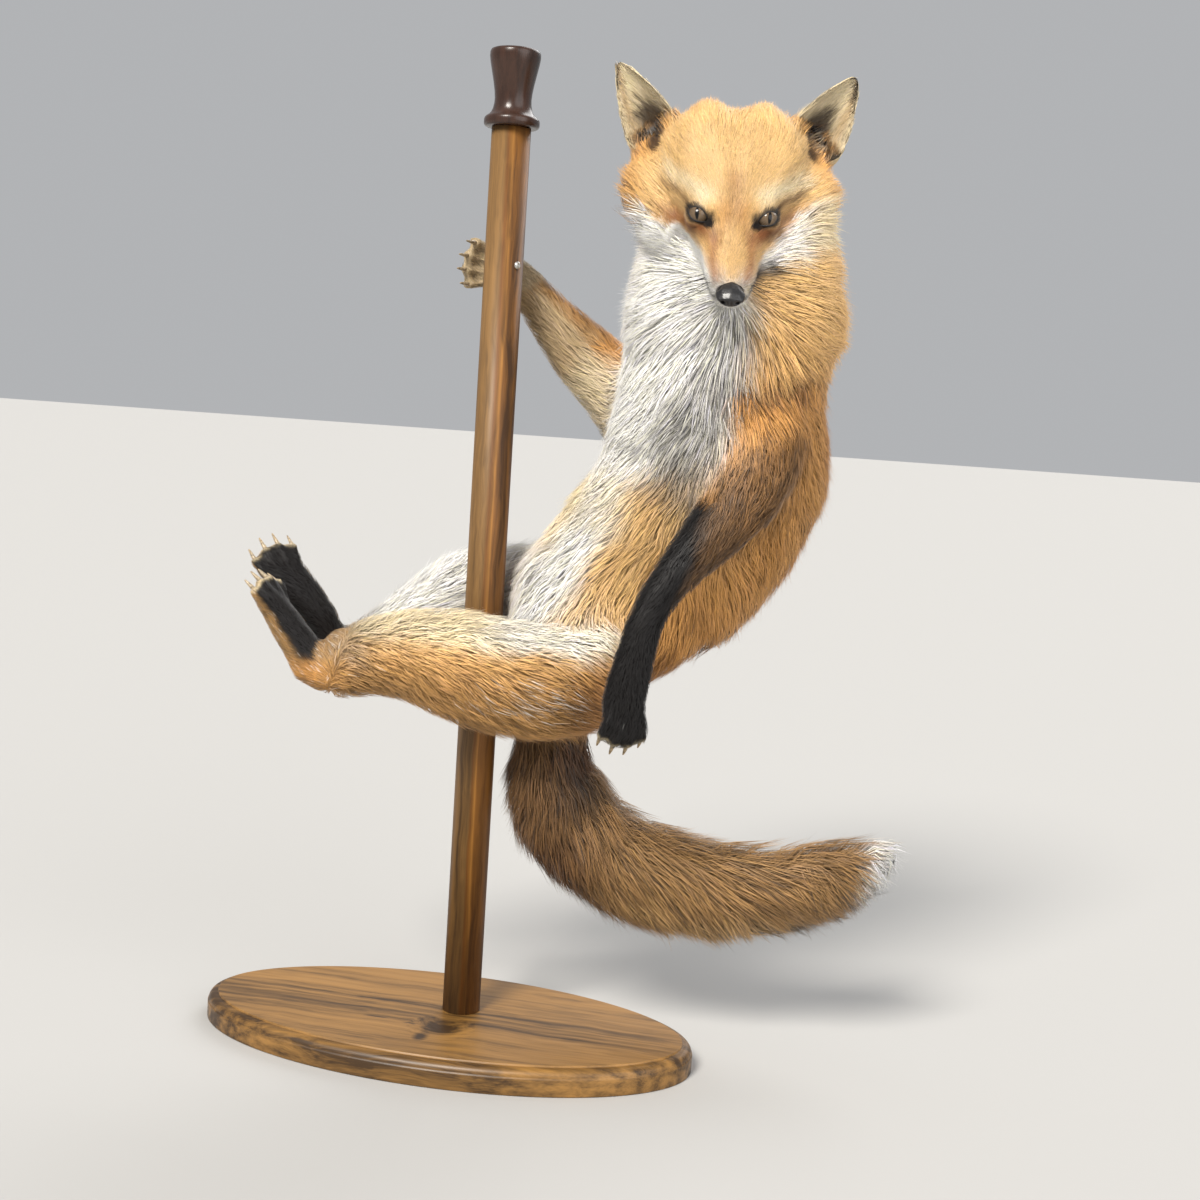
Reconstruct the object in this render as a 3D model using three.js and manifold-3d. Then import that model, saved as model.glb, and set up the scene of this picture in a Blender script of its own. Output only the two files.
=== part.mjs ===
// A taxidermy red fox that swings from a wooden pole on an oval base, held by its hind legs and a forepaw.
// Millimetres, +Z up. The origin is the middle of the base's underside, and +X runs along the base.
import * as THREE from "three";
import { mergeVertices } from "three/addons/utils/BufferGeometryUtils.js";
import Module from "manifold-3d";

const wasm = await Module();
wasm.setup();

// ---------------------------------------------------------------- driving dimensions
const GAP = 0.3; // clearance at a parting cut and between made pieces
const CLEAR = 0.6; // how much a body is grown before it cuts its neighbour
const base = { length: 424, width: 208, thick: 23, sides: 36 };
const pole = { x: 9, y: 14, radius: 16, top: 760, sides: 20 };
const finial = { height: 61, sides: 16 };
const screw = { height: 651, angle: THREE.MathUtils.degToRad(-44), radius: 3.2 };
const FOX_TURN = THREE.MathUtils.degToRad(11.5); // how far the fox is turned on the base

const v = (x, y, z) => new THREE.Vector3(x, y, z);
const up = v(0, 0, 1);

// ---------------------------------------------------------------- materials
const finish = (color, roughness) => new THREE.MeshStandardMaterial({ color, roughness, metalness: 0 });
const coat = {
  orange: finish(0xc4813c, 0.9),
  white: finish(0xe9e2d6, 0.9),
  black: finish(0x1d1a19, 0.85),
  brush: finish(0x9a6230, 0.9),
};
const horn = finish(0x4b4036, 0.45);
const glassEye = finish(0x7d6a3c, 0.08);
const noseLeather = finish(0x151416, 0.35);
const stainedWood = finish(0x8a5f30, 0.45);
const darkWood = finish(0x3d261b, 0.35);
const steel = new THREE.MeshStandardMaterial({ color: 0xb8b4aa, roughness: 0.35, metalness: 1 });

// ---------------------------------------------------------------- solids
function solid(geometry) {
  const bare = geometry.clone();
  bare.deleteAttribute("normal");
  bare.deleteAttribute("uv");
  const merged = mergeVertices(bare, 1e-3);
  return new wasm.Manifold(
    new wasm.Mesh({
      numProp: 3,
      vertProperties: Float32Array.from(merged.attributes.position.array),
      triVerts: Uint32Array.from(merged.index.array),
    }),
  );
}

function geometryOf(manifold) {
  const mesh = manifold.getMesh();
  const position = new Float32Array(mesh.numVert * 3);
  for (let i = 0; i < mesh.numVert; i++)
    position.set(mesh.vertProperties.subarray(i * mesh.numProp, i * mesh.numProp + 3), i * 3);
  const geometry = new THREE.BufferGeometry();
  geometry.setAttribute("position", new THREE.BufferAttribute(position, 3));
  geometry.setIndex(new THREE.BufferAttribute(Uint32Array.from(mesh.triVerts), 1));
  geometry.computeVertexNormals();
  return geometry;
}

// The biggest piece of a solid: a cut can leave slivers behind.
function largest(manifold) {
  return manifold.decompose().reduce((a, b) => (b.volume() > a.volume() ? b : a));
}

const join = (...all) => all.reduce((a, b) => a.add(b));
const without = (body, ...others) => largest(others.reduce((a, b) => a.subtract(b), body));

// Parts a solid by planes. Each plane faces the next piece, and a thin gap is left on it.
function parted(body, planes) {
  const pieces = [];
  let rest = body;
  for (const { at, facing } of planes) {
    const n = facing.clone().normalize();
    const offset = at.dot(n);
    pieces.push(largest(rest.trimByPlane(n.clone().negate().toArray(), GAP / 2 - offset)));
    rest = rest.trimByPlane(n.toArray(), offset + GAP / 2);
  }
  pieces.push(largest(rest));
  return pieces;
}

// Closed surface through rings of an even number of points. A zigzag strip closes each end.
function ringSurface(rings) {
  const sides = rings[0].length;
  const index = [];
  for (let r = 0; r + 1 < rings.length; r++)
    for (let s = 0; s < sides; s++) {
      const a = r * sides + s;
      const b = r * sides + ((s + 1) % sides);
      index.push(a, b, a + sides, b, b + sides, a + sides);
    }
  const last = (rings.length - 1) * sides;
  for (let s = 0; s + 1 < sides / 2; s++) {
    const [a, b, c, d] = [s, s + 1, sides - 2 - s, sides - 1 - s];
    index.push(a, c, b, a, d, c);
    index.push(last + a, last + b, last + c, last + a, last + c, last + d);
  }
  const geometry = new THREE.BufferGeometry();
  const position = rings.flat().flatMap((p) => p.toArray());
  geometry.setAttribute("position", new THREE.Float32BufferAttribute(position, 3));
  geometry.setIndex(index);
  return geometry;
}

// A station of a body: its middle, its half width to each side, how far it reaches to the front and
// to the back of the line, and the way its front faces.
const station = (at, side, front = side, back = front, facing = null) =>
  ({ at, side, front, back, facing });

// A closed body along a smooth line through its stations. Its ends bulge by their own width times round.
function loft(stations, { steps, sides, facing = up, grow = 0, round = [0.5, 0.5] }) {
  const ROUND_END = [0.5, 0.85]; // the rings of a rounded end, as shares of its full size
  const curve = (points) => new THREE.CatmullRomCurve3(points, false, "catmullrom", 0.5);
  const line = curve(stations.map((s) => s.at));
  const sizes = curve(stations.map((s) => v(s.side, s.front, s.back)));
  const fronts = curve(stations.map((s) => s.facing ?? facing));
  const ring = (t, share, along) => {
    const tangent = line.getTangent(t);
    const front = fronts.getPoint(t);
    front.addScaledVector(tangent, -front.dot(tangent)).normalize();
    const side = front.clone().cross(tangent);
    const size = sizes.getPoint(t).addScalar(grow);
    const middle = line.getPoint(t).addScaledVector(tangent, along * size.x + Math.sign(along) * grow);
    return Array.from({ length: sides }, (_, i) => {
      const angle = (2 * Math.PI * (i + 0.5)) / sides;
      const reach = Math.sin(angle) > 0 ? size.y : size.z;
      return middle.clone()
        .addScaledVector(side, Math.cos(angle) * size.x * share)
        .addScaledVector(front, Math.sin(angle) * reach * share);
    });
  };
  const bulging = (share) => Math.sqrt(1 - share * share);
  const rings = [];
  const cap = (t, share, bulge) => rings.push(ring(t, share, bulge * bulging(share)));
  if (round[0]) ROUND_END.forEach((share) => cap(0, share, -round[0]));
  for (let i = 0; i <= steps; i++) rings.push(ring(i / steps, 1, 0));
  if (round[1]) ROUND_END.toReversed().forEach((share) => cap(1, share, round[1]));
  return solid(ringSurface(rings));
}

// ---------------------------------------------------------------- the stand
// The oval base: rings follow the oval at an inset, so the moulded edge keeps its width all round.
function oval(inset, z) {
  const a = base.length / 2;
  const b = base.width / 2;
  return Array.from({ length: base.sides }, (_, i) => {
    const angle = (2 * Math.PI * i) / base.sides;
    const p = v(a * Math.cos(angle), b * Math.sin(angle), z);
    const outward = v(Math.cos(angle) / a, Math.sin(angle) / b, 0).normalize();
    return p.addScaledVector(outward, -inset);
  });
}

function ovalBase() {
  const edge = { round: 7, step: 1.6, quirk: 8.5, arris: 0.8 };
  const shoulder = base.thick - edge.step;
  const rings = [oval(edge.arris, 0), oval(0, edge.arris)];
  for (const share of [0, 0.5, 1]) {
    const angle = (share * Math.PI) / 2;
    rings.push(oval(edge.round * (1 - Math.cos(angle)), shoulder - edge.round * (1 - Math.sin(angle))));
  }
  rings.push(oval(edge.quirk, shoulder), oval(edge.quirk + 0.5, base.thick));
  return ringSurface(rings);
}

function turned(profile, sides) {
  const points = profile.map(([r, z]) => new THREE.Vector2(r, z));
  return new THREE.LatheGeometry(points, sides).rotateX(Math.PI / 2);
}

function poleGeometry(grow = 0) {
  const r = pole.radius + grow;
  return turned([[0, base.thick + GAP], [r, base.thick + GAP], [r, pole.top], [0, pole.top]], pole.sides);
}

function finialGeometry() {
  const z = pole.top + GAP;
  const profile = [
    [0, 0], [21, 0], [22.5, 2], [22.5, 6.5], [20.5, 8.5], [17, 12.5], [14.9, 19],
    [16, 31], [20.2, 51], [20.6, 58], [19.4, finial.height], [0, finial.height],
  ];
  return turned(profile.map(([r, h]) => [r, z + h]), finial.sides);
}

// The screw through the pole holds the paw behind it. Only its head shows.
function screwHead() {
  const r = screw.radius;
  return turned([[0, 0], [r, 0], [r, 0.7], [0.7 * r, 1.7], [0, 2.1]], 12);
}

// ---------------------------------------------------------------- the fox, in its own frame
// Its frame stands on the pole's foot: +X is to the fox's left, -Y to its front, +Z up.
const towardLeft = v(1, 0, 0);

// The trunk hangs in a bow, and turns its breast more and more to the pole's side on the way down.
function trunk(grow = 0) {
  const throat = v(-0.35, -0.93, 0);
  const breast = v(-0.8, -0.6, 0.1);
  const belly = v(-0.9, -0.3, 0.3);
  const groin = v(-0.75, 0, 0.66);
  return loft([
    station(v(184, -2, 740), 74, 40, 50, throat),
    station(v(187, -16, 690), 82, 60, 66, throat),
    station(v(188, -24, 642), 94, 78, 80, throat),
    station(v(187, -26, 606), 97, 88, 88, v(-0.5, -0.86, 0)),
    station(v(182, -22, 578), 84, 90, 90, v(-0.65, -0.75, 0)),
    station(v(182, -15, 522), 78, 98, 109, breast),
    station(v(177, -10, 480), 76, 98, 106, belly),
    station(v(160, -5, 444), 74, 94, 98, belly),
    station(v(128, 0, 404), 72, 94, 92, groin),
    station(v(92, 4, 358), 66, 84, 72, groin),
    station(v(68, 6, 312), 46, 56, 48, groin),
  ], { steps: 18, sides: 14, grow });
}

const trunkCuts = [
  { at: v(182, -22, 576), facing: v(0.05, 0, -1) },
  { at: v(175, -10, 474), facing: v(-0.3, 0, -0.95) },
  { at: v(120, 0, 394), facing: v(-0.62, 0, -0.78) },
];

function tail() {
  return loft([
    station(v(68, 6, 292), 32),
    station(v(61, 8, 262), 42),
    station(v(67, 14, 214), 49),
    station(v(95, 20, 174), 52),
    station(v(146, 24, 147), 52),
    station(v(211, 24, 136), 51),
    station(v(275, 18, 145), 45),
    station(v(328, 10, 168), 34),
    station(v(362, 2, 196), 13),
  ], { steps: 12, sides: 10 });
}

const tailCuts = [
  { at: v(95, 20, 174), facing: v(0.75, 0, -0.66) },
  { at: v(250, 20, 141), facing: v(1, 0, 0.15) },
];

// The near hind leg passes in front of the pole, the far one behind it. Front is up, towards the belly,
// and turns to the pole's side along the foot.
function leftHindLeg(grow = 0) {
  return loft([
    station(v(98, -34, 338), 58, 56, 60),
    station(v(60, -54, 322), 48, 48, 56),
    station(v(20, -62, 325), 44, 50, 54),
    station(v(-20, -64, 331), 38, 50, 48),
    station(v(-62, -58, 336), 31, 40, 38),
    station(v(-100, -52, 326), 25, 31, 34),
    station(v(-124, -49, 312), 19, 21, 21, v(0.6, 0, 0.8)),
    station(v(-143, -48, 334), 16, 17, 15, v(1, 0, 0.4)),
    station(v(-160, -46, 358), 17, 14, 14, v(1, 0, 0.4)),
    station(v(-168, -45, 372), 18, 10, 11, v(1, 0, 0.4)),
  ], { steps: 14, sides: 10, grow });
}

function rightHindLeg(grow = 0) {
  return loft([
    station(v(80, 36, 368), 56, 58, 56),
    station(v(28, 52, 381), 42, 45, 46),
    station(v(-16, 56, 378), 37, 40, 42),
    station(v(-44, 54, 362), 34, 36, 38),
    station(v(-76, 44, 338), 28, 32, 30),
    station(v(-106, 31, 321), 23, 27, 26),
    station(v(-122, 22, 314), 18, 20, 19, v(0.6, -0.2, 0.8)),
    station(v(-136, 14, 348), 17, 15, 15, v(0.8, -0.6, 0.2)),
    station(v(-156, 9, 374), 19, 14, 14, v(0.7, -0.7, 0.2)),
    station(v(-170, 5, 390), 20, 10, 11, v(0.7, -0.7, 0.2)),
  ], { steps: 14, sides: 10, grow });
}

const leftHindCuts = [
  { at: v(-14, -64, 330), facing: v(-1, 0, 0) },
  { at: v(-112, -50, 318), facing: v(-0.9, 0, 0.25) },
];
const rightHindCuts = [
  { at: v(-30, 55, 370), facing: v(-0.9, 0, -0.4) },
  { at: v(-108, 28, 320), facing: v(-1, 0, 0) },
];

// The left foreleg hangs limp in front of the belly, and the right one reaches for the pole.
function leftForeleg(grow = 0) {
  return loft([
    station(v(212, -50, 530), 44, 46, 46),
    station(v(206, -76, 494), 36, 38, 38),
    station(v(192, -96, 468), 27, 30, 30),
    station(v(170, -109, 442), 21, 23, 23),
    station(v(152, -118, 420), 18, 19, 19),
    station(v(134, -124, 391), 15, 16, 16),
    station(v(127, -126, 360), 14, 17, 16),
    station(v(121, -125, 330), 13, 19, 18),
    station(v(119, -124, 314), 11, 19, 18),
  ], { steps: 12, sides: 10, facing: v(-1, 0, 0), grow });
}

function rightForeleg(grow = 0) {
  return loft([
    station(v(150, 30, 505), 50, 50, 50),
    station(v(112, 44, 548), 36, 44, 40),
    station(v(76, 50, 576), 27, 36, 32),
    station(v(47, 46, 604), 21, 27, 24),
    station(v(21, 40, 632), 16, 20, 18),
    station(v(0, 37, 646), 13, 20, 18),
    station(v(-14, 34, 651), 11, 20, 18),
  ], { steps: 11, sides: 10, facing: v(0.4, 0, 1), grow });
}

const leftForeCuts = [
  { at: v(190, -97, 466), facing: v(-0.65, -0.35, -0.7) },
  { at: v(132, -124, 384), facing: v(-0.2, 0, -1) },
];
const rightForeCuts = [
  { at: v(78, 50, 575), facing: v(-0.75, 0, 0.65) },
  { at: v(24, 41, 629), facing: v(-0.7, 0, 0.7) },
];

// Four toes side by side with their claws. Along runs to the toe tips, top is the upper side, and the
// toes curl away from it.
function foot({ ball, along, top, spread, reach, curl }) {
  const forward = along.clone().normalize();
  const above = top.clone().addScaledVector(forward, -top.dot(forward)).normalize();
  const across = forward.clone().cross(above);
  const place = (x, y, z) => ball.clone()
    .addScaledVector(across, x).addScaledVector(forward, y).addScaledVector(above, z);
  const toes = [];
  const claws = [];
  const outerShare = 0.78; // an outer toe's reach, as a share of a middle one's
  const clawLength = 11;
  for (const slot of [-1.5, -0.5, 0.5, 1.5]) {
    const far = Math.abs(slot) > 1 ? outerShare * reach : reach;
    const x = slot * spread;
    const tip = place(x * 1.15, far * 0.85, -2 - curl * 5);
    const clawRoot = place(x * 1.18, far - 1, -2 - curl * 6);
    const clawTip = place(x * 1.2, far - 1 + clawLength, -7 - curl * 11);
    toes.push(loft([
      station(place(x * 0.85, -2, 0), 4.6, 8),
      station(place(x * 1.05, far * 0.45, 2), 4.9, 8.5),
      station(tip, 4.4, 6.5),
    ], { steps: 2, sides: 6, facing: above, round: [0, 0.6] }));
    claws.push((grow) => loft([
      station(clawRoot, 2.2, 2.6), station(clawTip, 0.5, 0.5),
    ], { steps: 1, sides: 6, facing: above, grow, round: [0, 0] }));
  }
  return { toes, claws };
}

const feet = {
  left_fore: {
    ball: v(121, -124, 312), along: v(-0.06, 0.06, -1), top: v(0.25, -1, 0),
    spread: 9.8, reach: 30, curl: 0.2,
  },
  right_fore: {
    ball: v(-16, 32, 652), along: v(-1, -0.35, 0.1), top: v(-0.3, 1, 0.1),
    spread: 10.4, reach: 22, curl: 0.5,
  },
  left_hind: {
    ball: v(-167, -45, 366), along: v(-0.3, 0, 1), top: v(0.85, -0.35, 0.3),
    spread: 9.8, reach: 25, curl: 0.1,
  },
  right_hind: {
    ball: v(-170, 5, 386), along: v(-0.4, -0.08, 1), top: v(0.45, -0.9, 0.2),
    spread: 10.2, reach: 28, curl: 0,
  },
};

// ---------------------------------------------------------------- the head
// The head has axes of its own: its origin is midway between the eyes, and it is bowed to the front.
const head = { middle: v(177, -93, 692), bow: THREE.MathUtils.degToRad(32) };
const muzzleWay = v(0, -Math.cos(head.bow), -Math.sin(head.bow));
const crownWay = v(0, -Math.sin(head.bow), Math.cos(head.bow));
const onHead = (left, forward, high) => head.middle.clone()
  .addScaledVector(towardLeft, left).addScaledVector(muzzleWay, forward).addScaledVector(crownWay, high);

const eye = { radius: 9, apart: 51, deep: 3 };
const eyeMiddle = (side) => onHead((side * eye.apart) / 2, eye.deep, 0);

function eyeball(side, grow = 0) {
  const ball = new THREE.SphereGeometry(eye.radius + grow, 12, 8);
  return ball.translate(...eyeMiddle(side).toArray());
}

function skull(grow = 0) {
  const section = (forward, high, side, above, below) =>
    station(onHead(0, forward, high), side, above, below);
  const cranium = loft([
    section(-96, -4, 80, 45, 44),
    section(-62, -2, 84, 53, 52),
    section(-34, 0, 60, 45, 52),
    section(-10, -4, 42, 31, 44),
    section(8, -11, 30, 21, 37),
    section(27, -19, 24, 16, 30),
    section(47, -26, 20, 13, 22),
    section(64, -31, 15, 11, 15),
  ], { steps: 10, sides: 12, facing: crownWay, grow, round: [0.25, 0.5] });
  const cheeks = [-1, 1].map((side) => loft([
    station(onHead(side * 32, -14, -26), 24, 22),
    station(onHead(side * 52, -36, -24), 31, 30),
    station(onHead(side * 63, -58, -14), 30, 32),
    station(onHead(side * 66, -84, -12), 24, 27),
  ], { steps: 4, sides: 9, facing: crownWay, grow, round: [0, 0.5] }));
  return join(cranium, ...cheeks);
}

function nose(grow = 0) {
  return loft([
    station(onHead(0, 62, -28), 8, 7, 7),
    station(onHead(0, 71, -29), 11.5, 7, 8.5),
    station(onHead(0, 77, -30.5), 10, 5, 7),
  ], { steps: 4, sides: 10, facing: crownWay, grow, round: [0, 0.3] });
}

// An ear is a cup that narrows to the tip. Each ring goes round the outside and back along the inside.
function ear({ root, tip, open, width, depth }) {
  const wall = 4;
  const arc = 7;
  const rise = tip.clone().sub(root);
  const axis = rise.clone().normalize();
  const front = open.clone().addScaledVector(axis, -open.dot(axis)).normalize();
  const side = front.clone().cross(axis);
  const rings = [-0.3, 0, 0.25, 0.5, 0.72, 0.9, 1].map((height) => {
    const narrow = height < 0 ? 1 : (1 - height ** 1.5) ** 0.8;
    const middle = root.clone().addScaledVector(rise, height);
    const along = (half, back, i) => {
      const angle = Math.PI * (1 - i / (arc - 1));
      return middle.clone()
        .addScaledVector(side, half * Math.cos(angle)).addScaledVector(front, -back * Math.sin(angle));
    };
    const thick = Math.min(wall, 1.2 + wall * narrow);
    const half = (width / 2) * narrow + 2;
    const back = depth * narrow + 2.5;
    const outside = Array.from({ length: arc }, (_, i) => along(half, back, i));
    const inside = Array.from({ length: arc }, (_, i) => along(half - 0.6 * thick, back - thick, i)
      .addScaledVector(front, 0.3));
    return [...outside, ...inside.toReversed()];
  });
  return solid(ringSurface(rings));
}

const ears = {
  right: { root: v(117, -46, 750), tip: v(82, -40, 811), open: v(-0.35, -1, 0), width: 46, depth: 20 },
  left: { root: v(240, -46, 756), tip: v(270, -40, 811), open: v(0.35, -1, 0), width: 48, depth: 20 },
};

// ---------------------------------------------------------------- putting it together
const model = new THREE.Group();
const fox = new THREE.Group();
fox.position.set(pole.x, pole.y, 0);
fox.rotation.z = FOX_TURN;
model.add(fox);

function put(group, name, geometry, material) {
  const mesh = new THREE.Mesh(geometry, material);
  mesh.name = name;
  group.add(mesh);
  return mesh;
}

const putFlesh = (name, body, material) => put(fox, name, geometryOf(body), material);

put(model, "stand_base", ovalBase(), stainedWood);
put(fox, "stand_pole", poleGeometry(), stainedWood);
put(fox, "stand_finial", finialGeometry(), darkWood);

const screwWay = v(Math.cos(screw.angle), Math.sin(screw.angle), 0);
const screwMesh = put(fox, "stand_screw", screwHead(), steel);
screwMesh.position.copy(screwWay).multiplyScalar(pole.radius + GAP).setZ(screw.height);
screwMesh.quaternion.setFromUnitVectors(up, screwWay);

const poleRoom = solid(poleGeometry(GAP));
const wholeTrunk = trunk().subtract(poleRoom);
const trunkRoom = trunk(CLEAR).add(poleRoom);
const headRoom = join(skull(CLEAR), nose(CLEAR));
const eyeRoom = join(...[-1, 1].map((side) => solid(eyeball(side, CLEAR))));

const wholeHead = without(skull(), nose(CLEAR), eyeRoom);
putFlesh("head", wholeHead, coat.orange);
putFlesh("nose", nose(), noseLeather);
for (const [name, side] of [["right", -1], ["left", 1]]) {
  put(fox, `${name}_eye`, eyeball(side), glassEye);
  putFlesh(`${name}_ear`, without(ear(ears[name]), headRoom, trunkRoom), coat.orange);
}

const [neck, chest, belly, rump] = parted(wholeTrunk.subtract(headRoom), trunkCuts);
putFlesh("neck", neck, coat.white);
putFlesh("chest", chest, coat.white);
putFlesh("belly", belly, coat.white);
putFlesh("rump", rump, coat.orange);

// Each limb gives way to what was placed before it. A leg is parted at two joints, and its last length
// is joined to its toes.
const legs = [
  { side: "left", foot: "hind", names: ["thigh", "shin"], limb: leftHindLeg, cuts: leftHindCuts },
  { side: "right", foot: "hind", names: ["thigh", "shin"], limb: rightHindLeg, cuts: rightHindCuts },
  { side: "left", foot: "fore", names: ["upper_arm", "forearm"], limb: leftForeleg, cuts: leftForeCuts },
  { side: "right", foot: "fore", names: ["upper_arm", "forearm"], limb: rightForeleg, cuts: rightForeCuts },
];
let taken = trunkRoom.add(headRoom);
for (const leg of legs) {
  const name = `${leg.side}_${leg.foot}`;
  const { toes, claws } = foot(feet[name]);
  const [first, second, end] = parted(leg.limb().subtract(taken), leg.cuts);
  putFlesh(`${leg.side}_${leg.names[0]}`, first, coat.orange);
  putFlesh(`${leg.side}_${leg.names[1]}`, second, name === "left_fore" ? coat.black : coat.orange);
  const clawRoom = join(...claws.map((claw) => claw(CLEAR)));
  putFlesh(`${name}_paw`, without(join(end, ...toes), clawRoom, poleRoom), coat.black);
  claws.forEach((claw, i) => putFlesh(`${name}_claw_${i + 1}`, claw(0), horn));
  taken = taken.add(leg.limb(CLEAR));
}

const tailNames = ["tail_root", "tail_middle", "tail_tip"];
parted(tail().subtract(taken), tailCuts)
  .forEach((piece, i) => putFlesh(tailNames[i], piece, coat.brush));

export default model;
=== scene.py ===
"""The looks of a taxidermy red fox that swings from a wooden pole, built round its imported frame.

Everything is in metres, in the frame's axes. The fox has axes of its own too, which stand on the pole's
foot: X to its left, -Y to its front, Z up. Its head has a third set, from midway between the eyes: left,
forward along the muzzle, and high towards the crown. Names that end in _mm are in millimetres."""
import math

import bmesh
import bpy
import numpy as np
from mathutils import Matrix, Vector
from mathutils.bvhtree import BVHTree
from mathutils.kdtree import KDTree


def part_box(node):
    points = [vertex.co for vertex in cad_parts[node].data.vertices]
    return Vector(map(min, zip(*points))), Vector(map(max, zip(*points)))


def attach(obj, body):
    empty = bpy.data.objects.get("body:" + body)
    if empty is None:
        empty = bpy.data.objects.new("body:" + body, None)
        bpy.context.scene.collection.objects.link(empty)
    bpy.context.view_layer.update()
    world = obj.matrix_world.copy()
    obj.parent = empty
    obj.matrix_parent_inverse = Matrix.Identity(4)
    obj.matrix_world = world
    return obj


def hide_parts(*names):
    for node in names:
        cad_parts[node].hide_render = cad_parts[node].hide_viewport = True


bl_info = {
    "name": "Taxidermy red fox",
    "version": (1, 0, 0),
    "blender": (4, 5, 0),
    "location": "View3D > Sidebar > Red fox",
    "description": "Skin, coat, eyes, claws and pole stand of a taxidermy red fox",
    "category": "Add Mesh",
}

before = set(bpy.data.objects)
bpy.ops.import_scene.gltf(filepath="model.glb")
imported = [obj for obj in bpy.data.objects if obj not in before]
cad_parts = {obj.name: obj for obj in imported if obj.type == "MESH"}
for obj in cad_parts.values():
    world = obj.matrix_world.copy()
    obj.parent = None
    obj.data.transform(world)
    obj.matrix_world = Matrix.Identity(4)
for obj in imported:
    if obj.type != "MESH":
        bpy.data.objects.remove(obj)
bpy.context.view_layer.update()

MM = 0.001
FOX_TURN = math.radians(11.5)  # how far the fox is turned on its base
HEAD_BOW = math.radians(32)  # how far the muzzle points down
SIDES = {"right": -1, "left": 1}
FEET = [f"{side}_{end}" for side in SIDES for end in ("fore", "hind")]
EYE_ZONE = 17 * MM  # how far from an eye's middle its opening and its rim reach
POLE_GAP = 0.8 * MM  # hair stays this far off the pole

FLESH = (
    "head neck chest belly rump tail_root tail_middle tail_tip left_ear right_ear "
    "left_thigh left_shin left_hind_paw right_thigh right_shin right_hind_paw "
    "left_upper_arm left_forearm left_fore_paw right_upper_arm right_forearm right_fore_paw"
).split()
REGION = {name: i for i, name in enumerate(FLESH)}
TRUNK = ("neck", "chest", "belly", "rump")
TAIL = ("tail_root", "tail_middle", "tail_tip")


def middle(node):
    low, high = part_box(node)
    return np.array((low + high) / 2)


def claws_of(foot):
    return [f"{foot}_claw_{i}" for i in range(1, 5)]


# ---------------------------------------------------------------- axes
POLE_FOOT = middle("stand_pole") * (1, 1, 0)
POLE_RADIUS = float(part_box("stand_pole")[1].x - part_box("stand_pole")[0].x) / 2
FOX_AXES = np.array([
    [math.cos(FOX_TURN), math.sin(FOX_TURN), 0],
    [-math.sin(FOX_TURN), math.cos(FOX_TURN), 0],
    [0, 0, 1],
])
HEAD_AXES = np.array([
    [1, 0, 0],
    [0, -math.cos(HEAD_BOW), -math.sin(HEAD_BOW)],
    [0, -math.sin(HEAD_BOW), math.cos(HEAD_BOW)],
]) @ FOX_AXES
HEAD_MIDDLE = (middle("left_eye") + middle("right_eye")) / 2


def fox(x, y, z):
    """A direction in the fox's axes, as one in the frame's."""
    way = np.array([x, y, z], float) @ FOX_AXES
    return way / np.linalg.norm(way)


def in_fox_mm(points):
    return (points - POLE_FOOT) @ FOX_AXES.T / MM


def in_head_mm(points):
    return (points - HEAD_MIDDLE) @ HEAD_AXES.T / MM


def on_head(left, forward, high):
    return HEAD_MIDDLE + np.array([left, forward, high]) * MM @ HEAD_AXES


def folded(head_mm):
    """Places in the head's axes, with its right side laid over its left."""
    return np.column_stack([np.abs(head_mm[:, 0]), head_mm[:, 1:]])


# ---------------------------------------------------------------- numbers
def unit(ways):
    return ways / np.maximum(np.linalg.norm(ways, axis=-1, keepdims=True), 1e-9)


def step(low, high, x):
    """0 before low, 1 after high, smooth between. Low may be the greater."""
    t = np.clip((x - low) / (high - low), 0, 1)
    return t * t * (3 - 2 * t)


def blend(a, b, share):
    """From a to b by that share, for numbers and for rows of three."""
    if (3,) in (np.shape(a)[-1:], np.shape(b)[-1:]):
        share = np.asarray(share)[..., None]
    return a + (b - a) * share


def near(points, route, reach):
    """1 on a route through those corners, falling away smoothly over its reach."""
    route = np.array(route, float).reshape(-1, 3)
    best = np.full(len(points), np.inf)
    for a, b in zip(route, route[1:] if len(route) > 1 else route):
        along = b - a
        t = np.clip((points - a) @ along / max(along @ along, 1e-9), 0, 1)
        away = (points - a - t[:, None] * along) / reach
        best = np.minimum(best, (away**2).sum(axis=1))
    return np.exp(-best)


def noise(points, cell, seed):
    """Smooth noise from -1 to 1, with a random value at each corner of a lattice of that cell."""
    p = points / cell
    base = np.floor(p).astype(np.int64)
    f = p - base
    f = f * f * (3 - 2 * f)
    total = np.zeros(len(points))
    for corner in np.ndindex(2, 2, 2):
        x, y, z = (base + corner).T
        mixed = (x * 73856093) ^ (y * 19349663) ^ (z * 83492791) ^ (seed * 2654435761)
        mixed = ((mixed ^ (mixed >> 13)) * 1274126177) & 0xFFFFFFFF
        value = ((mixed >> 8) & 0xFFFF) / 32767.5 - 1
        total += np.prod(np.where(corner, f, 1 - f), axis=-1) * value
    return total


def spread(values, edges, rounds, keep=0.5):
    """Smooths values over a mesh: each point keeps a share and takes the rest from its neighbours."""
    target = np.concatenate([edges[:, 0], edges[:, 1]])
    source = np.concatenate([edges[:, 1], edges[:, 0]])
    order = np.argsort(target, kind="stable")
    target, source = target[order], source[order]
    points, starts, counts = np.unique(target, return_index=True, return_counts=True)
    values = values.copy()
    shape = (-1,) + (1,) * (values.ndim - 1)
    for _ in range(rounds):
        near = np.add.reduceat(values[source], starts, axis=0) / counts.reshape(shape)
        values[points] = keep * values[points] + (1 - keep) * near
    return values


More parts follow.
